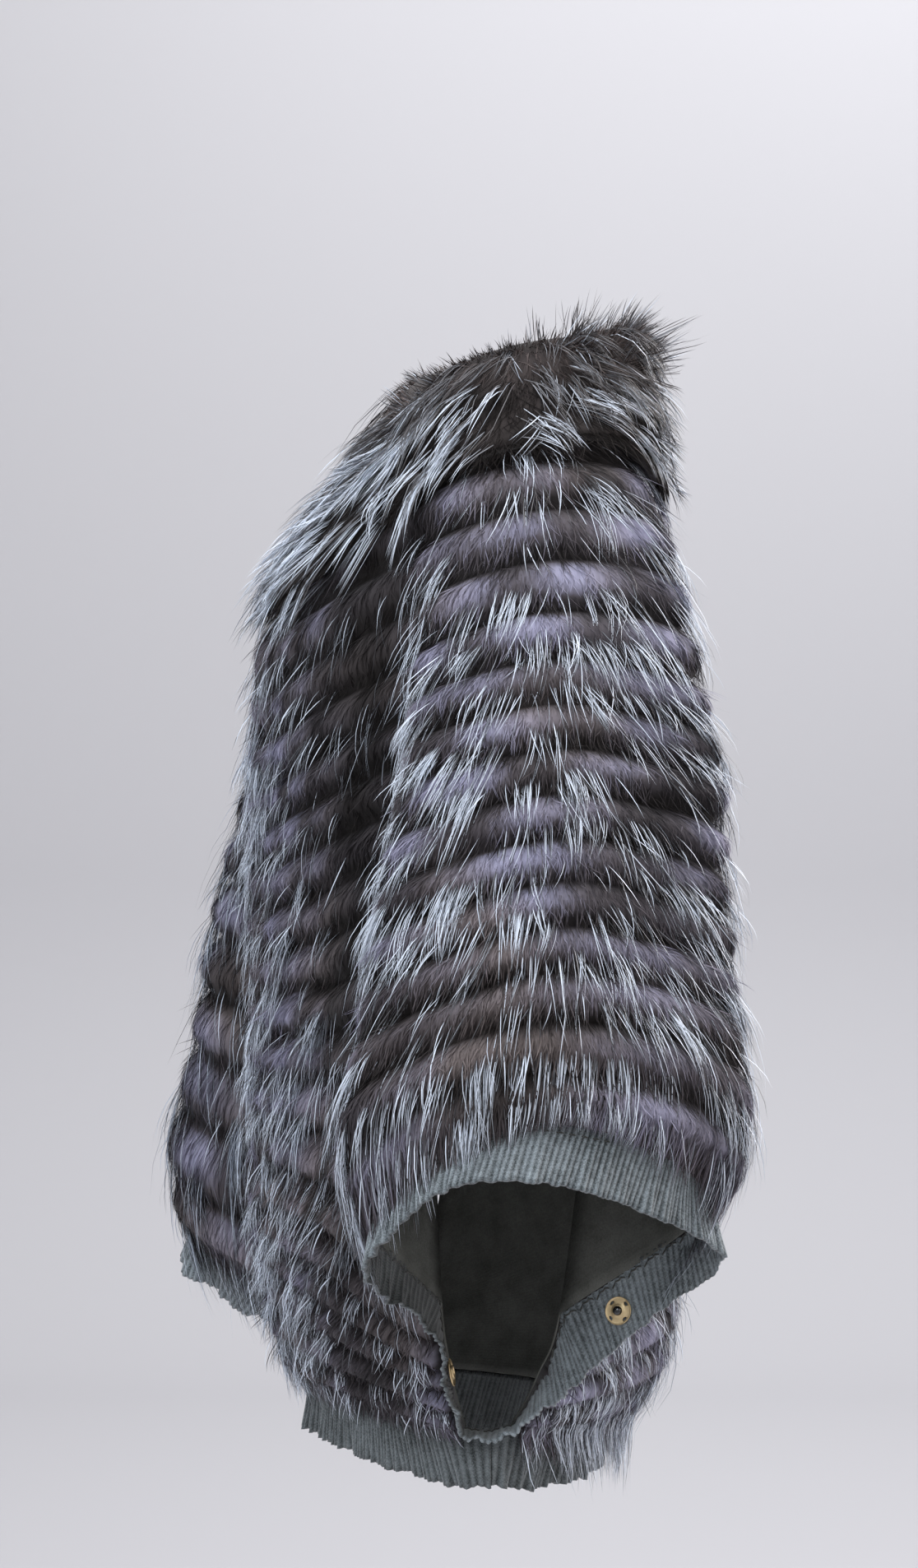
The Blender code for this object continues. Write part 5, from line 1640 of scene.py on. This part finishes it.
SLOT_AT, SLOT_LONG, SLOT_WIDE = 0.0079, 0.0019, 0.0011  # a sewing slot's radius and half sizes
SLOT_FROM, SLOT_TO = -0.001, 0.0024  # heights that the cut goes through
BRASS, STEEL = ((0.80, 0.62, 0.36), 0.36), ((0.10, 0.10, 0.10), 0.16)  # colour and roughness


def seat_of(node):
    """The middle of a fastener's back, and its axis towards the narrower end."""
    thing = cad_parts[node]
    flat = np.zeros(len(thing.data.vertices) * 3)
    thing.data.vertices.foreach_get("co", flat)
    points = flat.reshape(-1, 3)
    centre = (points.max(0) + points.min(0)) / 2.0
    axis = np.linalg.eigh(np.cov((points - points.mean(0)).T))[1][:, 0]
    depth = (points - centre) @ axis
    radius = np.linalg.norm((points - centre) - depth[:, None] * axis, axis=1)
    turn = 1.0 if radius[depth > 0].mean() < radius[depth < 0].mean() else -1.0
    return centre + axis * turn * (depth * turn).min(), axis * turn


def round_axis(axis, steps):
    """Two directions square to an axis, and a ring of even steps round it."""
    side = unit(np.cross(axis, UP))
    up = np.cross(axis, side)
    angle = np.arange(steps) / steps * TAU
    return side, up, np.cos(angle)[:, None] * side + np.sin(angle)[:, None] * up


def turned(name, profile, middle, axis, material):
    """A turned piece: radius and height pairs carried round the axis, closed at both ends."""
    radius, height = np.array(profile).T
    ring = round_axis(axis, TURNED_STEPS)[2]
    points = middle + radius[:, None, None] * ring[None] + height[:, None, None] * axis
    quads = grid_faces(len(profile), TURNED_STEPS, ring=True)
    first = np.arange(TURNED_STEPS)[None, ::-1]
    last = (len(profile) - 1) * TURNED_STEPS + np.arange(TURNED_STEPS)[None]
    flat = points.reshape(-1, 3)
    return put_mesh(name, flat, facing_out(flat, quads, first, last), [material])


def slot_holes(thing, middle, axis):
    """Cuts the sewing slots through a plate, each a rounded slot that lies across its radius."""
    side, up = round_axis(axis, SLOTS)[:2]
    lap = np.arange(SLOT_STEPS) / SLOT_STEPS * TAU
    parts, faces, caps = [], [], []
    for number in range(SLOTS):
        angle = number * TAU / SLOTS + TAU / 8
        out = side * np.cos(angle) + up * np.sin(angle)
        across = np.cos(lap)[:, None] * np.cross(axis, out) * SLOT_LONG
        shape = out * SLOT_AT + across + np.sin(lap)[:, None] * out * SLOT_WIDE
        parts += [middle + shape + axis * SLOT_FROM, middle + shape + axis * SLOT_TO]
        first = number * 2 * SLOT_STEPS
        faces.append(grid_faces(2, SLOT_STEPS, first, ring=True))
        caps += [first + np.arange(SLOT_STEPS)[::-1], first + SLOT_STEPS + np.arange(SLOT_STEPS)]
    points = np.concatenate(parts)
    faces = facing_out(points - middle, np.concatenate(faces), np.array(caps))
    cutter = put_mesh("slot_cutter", points, faces, [])
    modifier = thing.modifiers.new("slots", "BOOLEAN")
    modifier.operation = "DIFFERENCE"
    modifier.solver = "EXACT"
    modifier.object = cutter
    graph = bpy.context.evaluated_depsgraph_get()
    cut = bpy.data.meshes.new_from_object(thing.evaluated_get(graph))
    thing.modifiers.clear()
    thing.data = cut
    bpy.data.objects.remove(cutter)


def fastener(node, kind):
    """A press fastener's stud or socket: a dished plate with a rolled rim and four sewing slots."""
    middle, axis = seat_of(node)
    brass, steel = metal_material("pale_brass", *BRASS), metal_material("dark_steel", *STEEL)
    plate = turned(f"{node}_plate", PLATE_RIM + PLATE_MIDDLE[kind], middle, axis, brass)
    slot_holes(plate, middle, axis)
    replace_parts(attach(plate, "root"), node)
    if kind == "stud":
        knob = turned(f"{node}_ball", BALL, middle, axis, steel)
        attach(knob, "root")


# ---- Settings, operators and panel.


def colour(name, about, value):
    """A colour setting."""
    return FloatVectorProperty(
        name=name, description=about, default=value, size=3, subtype="COLOR", min=0, max=1
    )


def hairs(name, about, value):
    """A setting for a number of hairs."""
    return IntProperty(name=name, description=about, default=value, min=0)


class CoatFur(bpy.types.PropertyGroup):
    light: colour("Underfur light", "Colour of the underfur where it is fullest", (0.342, 0.334, 0.452))
    mid: colour("Underfur middle", "Colour of the underfur between", (0.092, 0.081, 0.091))
    # dark is the fur's own dark and also the painted shade in the underfur's grooves
    dark: colour("Underfur dark", "Colour of the underfur in the grooves", (0.012, 0.0098, 0.0090))
    hair_bright: colour("Hair bright", "Colour of a silver hair's middle", (0.82, 0.89, 1.00))
    hair_dark: colour("Hair dark", "Colour of a hair's root and tip", (0.022, 0.020, 0.022))
    white_share: FloatProperty(
        name="Silver share", description="Share of guard hairs that are silver", default=0.68, min=0, max=1,
        subtype="FACTOR",
    )
    hair_cover: FloatProperty(
        name="Hair cover", description="How far the underfur lies below the hair's surface", default=0.003,
        min=0, max=0.01, unit="LENGTH",
    )
    guard_left: hairs("Left sleeve", "Guard hairs on the left sleeve", 6200)
    guard_front: hairs("Front", "Guard hairs on the front", 6600)
    guard_back: hairs("Back", "Guard hairs on the back", 6400)
    guard_right: hairs("Right sleeve", "Guard hairs on the right sleeve", 4800)
    guard_collar: hairs("Collar", "Guard hairs on the collar", 7400)
    down_hairs: hairs("Down", "Short hairs on each seen panel", 27000)


class CoatKnit(bpy.types.PropertyGroup):
    rib_light: colour("Rib light", "Light fibres of the rib knit", (0.372, 0.423, 0.451))
    rib_dark: colour("Rib dark", "Dark fibres of the rib knit", (0.034, 0.042, 0.044))
    felt_light: colour("Inside light", "Light fibres of the plain knit inside", (0.182, 0.185, 0.169))
    felt_dark: colour("Inside dark", "Dark fibres of the plain knit inside", (0.055, 0.056, 0.049))


class CoatStage(bpy.types.PropertyGroup):
    wall: colour("Wall", "Colour of the backdrop and floor", (0.528, 0.520, 0.536))
    key: FloatProperty(
        name="Key light", description="Power of the main light", default=78.0, min=0, unit="POWER"
    )
    azimuth: FloatProperty(
        name="Azimuth", description="Camera's turn round the coat, in degrees", default=77.0
    )
    distance: FloatProperty(
        name="Distance", description="Camera's distance from the coat's middle", default=3.6, unit="LENGTH"
    )


class COAT_OT_knit_base(bpy.types.Operator):
    """Makes the knitted base inside each fur panel"""

    bl_idname = "coat.knit_base"
    bl_label = "Knitted base"

    def execute(self, context):
        for name in PANELS:
            thing, flat, area = knit_base(name)
        return {"FINISHED"}


class COAT_OT_underfur(bpy.types.Operator):
    """Makes the underfur of the panels"""

    bl_idname = "coat.underfur"
    bl_label = "Underfur"

    def execute(self, context):
        for name in PANELS:
            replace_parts(underfur(name), name)
        return {"FINISHED"}


class COAT_OT_hair(bpy.types.Operator):
    """Makes the panels' guard hair and down"""

    bl_idname = "coat.hair"
    bl_label = "Panel hair"

    def execute(self, context):
        looks = context.scene.coat_fur
        counts = {
            "front_panel": looks.guard_front,
            "back_panel": looks.guard_back,
            "sleeve_left": looks.guard_left,
            "sleeve_right": looks.guard_right,
        }
        for seed, (name, count) in enumerate(counts.items()):
            panel_hair(name, GUARD, count, 100 + seed * 10)
            share = HIDDEN_DOWN if name == "sleeve_right" else 1.0
            panel_hair(name, DOWN, int(looks.down_hairs * share), 105 + seed * 10)
        return {"FINISHED"}


class COAT_OT_collar(bpy.types.Operator):
    """Makes the collar's underfur and its long combed hair"""

    bl_idname = "coat.collar"
    bl_label = "Collar"

    def execute(self, context):
        looks = context.scene.coat_fur
        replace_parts(collar_body(), "collar")
        collar_hair("collar_guard_hair", COLLAR_GUARD, looks.guard_collar, 301)
        collar_hair("collar_down_hair", COLLAR_DOWN, looks.down_hairs, 302)
        return {"FINISHED"}


class COAT_OT_bands(bpy.types.Operator):
    """Makes the rib-knit bands of the arm openings and the hem"""

    bl_idname = "coat.bands"
    bl_label = "Rib bands"

    def execute(self, context):
        for name, side, seed in (("cuff_band_left", LEFT, 41), ("cuff_band_right", RIGHT, 42)):
            thing, flat = cuff_band(name, side, seed)
            word = name.split("_")[-1]
            on_it = [f"{name}_loops", f"{name}_stitches"]
            on_it += [f"press_stud_{word}_plate", f"press_stud_{word}_ball", f"press_socket_{word}_plate"]
        for name, which, seed in (("hem_band_front", "front", 43), ("hem_band_back", "back", 44)):
            thing, flat = hem_band(name, which, seed)
        return {"FINISHED"}


class COAT_OT_fasteners(bpy.types.Operator):
    """Makes the press studs and their sockets"""

    bl_idname = "coat.fasteners"
    bl_label = "Press fasteners"

    def execute(self, context):
        for word in ("left", "right"):
            fastener(f"press_stud_{word}", "stud")
            fastener(f"press_socket_{word}", "socket")
        return {"FINISHED"}


class COAT_OT_stage(bpy.types.Operator):
    """Makes the floor, the backdrop, the lights and the camera"""

    bl_idname = "coat.stage"
    bl_label = "Stage"

    def execute(self, context):
        build_stage(context.scene.coat_stage)
        return {"FINISHED"}


Lamp = namedtuple("Lamp", "name back right up size power tint")
LAMPS = (  # places by the camera's back, right and up, in metres; power as a share of the key light's
    Lamp("key", 2.4, -1.9, 1.75, 2.0, 1.0, (0.865, 0.925, 1.0)),
    Lamp("top", 0.4, -0.3, 2.3, 1.8, 0.55, (0.93, 0.95, 1.0)),
    Lamp("fill", 2.6, 1.6, 0.9, 2.4, 0.27, (1.0, 0.98, 0.97)),
    Lamp("edge", -0.6, 2.2, 1.0, 1.6, 1.05, (1.0, 0.96, 0.95)),
    Lamp("wall", -3.8, 1.2, 3.4, 3.0, 2.6, (0.97, 0.98, 1.0)),
)
COAT_MIDDLE = np.array([0.0, 0.0, -0.30])
CAMERA_RIGHT, CAMERA_UP = -0.0273, -0.2945  # the camera's aim, right of the origin and above it
CAMERA_LENS, CAMERA_SENSOR = 104.6, 36.0
WALL_BACK, WALL_AIM_UP = -6.4, 0.1
FLOOR_FRONT, FLOOR_DOWN, WALL_TOP, WALL_HALF_WIDTH, BEND = 8.0, -1.5, 6.0, 9.0, 1.0
WALL_MOTTLE = (0.6, 0.6, 0.64)
ROOM_COLOUR, ROOM_STRENGTH = (0.86, 0.865, 0.90, 1.0), 0.42


def lit(lamp, place, aim, power):
    """An area lamp at a place, turned to its aim, which the camera doesn't see."""
    data = bpy.data.lights.new(lamp.name, "AREA")
    data.shape, data.size, data.energy, data.color = "SQUARE", lamp.size, power, lamp.tint
    thing = bpy.data.objects.new(lamp.name, data)
    thing.location = place
    thing.rotation_euler = Vector(aim - place).to_track_quat("-Z", "Y").to_euler()
    thing.visible_camera = False
    bpy.context.scene.collection.objects.link(thing)
    return thing


def build_stage(settings):
    """A floor that bends up into a backdrop by a quarter circle, soft lights and a level camera.

    All stand in the camera's own directions, which the azimuth turns.
    """
    turn = np.radians(settings.azimuth)
    back = np.array([np.sin(turn), -np.cos(turn), 0.0])
    right = np.array([np.cos(turn), np.sin(turn), 0.0])
    nodes = Nodes("backdrop")
    mottle = nodes.noise(nodes.here(), scale=0.7, detail=1.0) * 0.08
    wall = nodes.finish(nodes.mix(mottle, tuple(settings.wall), WALL_MOTTLE), 0.9)
    bend = np.radians(np.linspace(0.0, 90.0, 16))
    depth = np.concatenate([[FLOOR_FRONT], WALL_BACK + BEND - BEND * np.sin(bend), [WALL_BACK]])
    height = np.concatenate([[FLOOR_DOWN], FLOOR_DOWN + BEND - BEND * np.cos(bend), [WALL_TOP]])
    width = np.array([-WALL_HALF_WIDTH, WALL_HALF_WIDTH])[:, None] * right
    points = depth[:, None, None] * back + width + height[:, None, None] * UP
    backdrop = put_mesh("floor_and_backdrop", points.reshape(-1, 3), [grid_faces(len(depth), 2)], [wall])
    for lamp in LAMPS:
        place = lamp.back * back + lamp.right * right + lamp.up * UP
        aim = WALL_BACK * back + WALL_AIM_UP * UP if lamp.name == "wall" else COAT_MIDDLE
        lit(lamp, place, aim, settings.key * lamp.power)
    world = bpy.data.worlds.new("soft_room")
    world.use_nodes = True
    world.node_tree.nodes["Background"].inputs["Color"].default_value = ROOM_COLOUR
    world.node_tree.nodes["Background"].inputs["Strength"].default_value = ROOM_STRENGTH
    bpy.context.scene.world = world
    data = bpy.data.cameras.new("camera")
    data.lens, data.sensor_width = CAMERA_LENS, CAMERA_SENSOR
    camera = bpy.data.objects.new("camera", data)
    camera.location = right * CAMERA_RIGHT + UP * CAMERA_UP + back * settings.distance
    camera.rotation_euler = Vector(-back).to_track_quat("-Z", "Y").to_euler()
    bpy.context.scene.collection.objects.link(camera)
    bpy.context.scene.camera = camera
    bpy.context.scene.view_settings.view_transform = "Standard"


class COAT_PT_panel(bpy.types.Panel):
    """Lists the coat's settings and steps"""

    bl_idname = "COAT_PT_panel"
    bl_label = "Silver Fox Poncho Coat"
    bl_space_type = "VIEW_3D"
    bl_region_type = "UI"
    bl_category = "Fur Coat"

    def draw(self, context):
        for group in (context.scene.coat_fur, context.scene.coat_knit, context.scene.coat_stage):
            box = self.layout.box()
            for name in group.__annotations__:
                box.prop(group, name)
        for operator in OPERATORS:
            self.layout.operator(operator.bl_idname)


OPERATORS = (
    COAT_OT_knit_base,
    COAT_OT_underfur,
    COAT_OT_hair,
    COAT_OT_collar,
    COAT_OT_bands,
    COAT_OT_fasteners,
    COAT_OT_stage,
)
CLASSES = (CoatFur, CoatKnit, CoatStage, *OPERATORS, COAT_PT_panel)


def register():
    for item in CLASSES:
        bpy.utils.register_class(item)
    bpy.types.Scene.coat_fur = PointerProperty(type=CoatFur)
    bpy.types.Scene.coat_knit = PointerProperty(type=CoatKnit)
    bpy.types.Scene.coat_stage = PointerProperty(type=CoatStage)


def unregister():
    for name in ("coat_fur", "coat_knit", "coat_stage"):
        delattr(bpy.types.Scene, name)
    for item in reversed(CLASSES):
        bpy.utils.unregister_class(item)


def main():
    register()
    bpy.ops.coat.underfur()
    bpy.ops.coat.hair()
    bpy.ops.coat.knit_base()
    bpy.ops.coat.collar()
    bpy.ops.coat.fasteners()
    bpy.ops.coat.bands()
    bpy.ops.coat.stage()


if __name__ == "__main__":
    main()
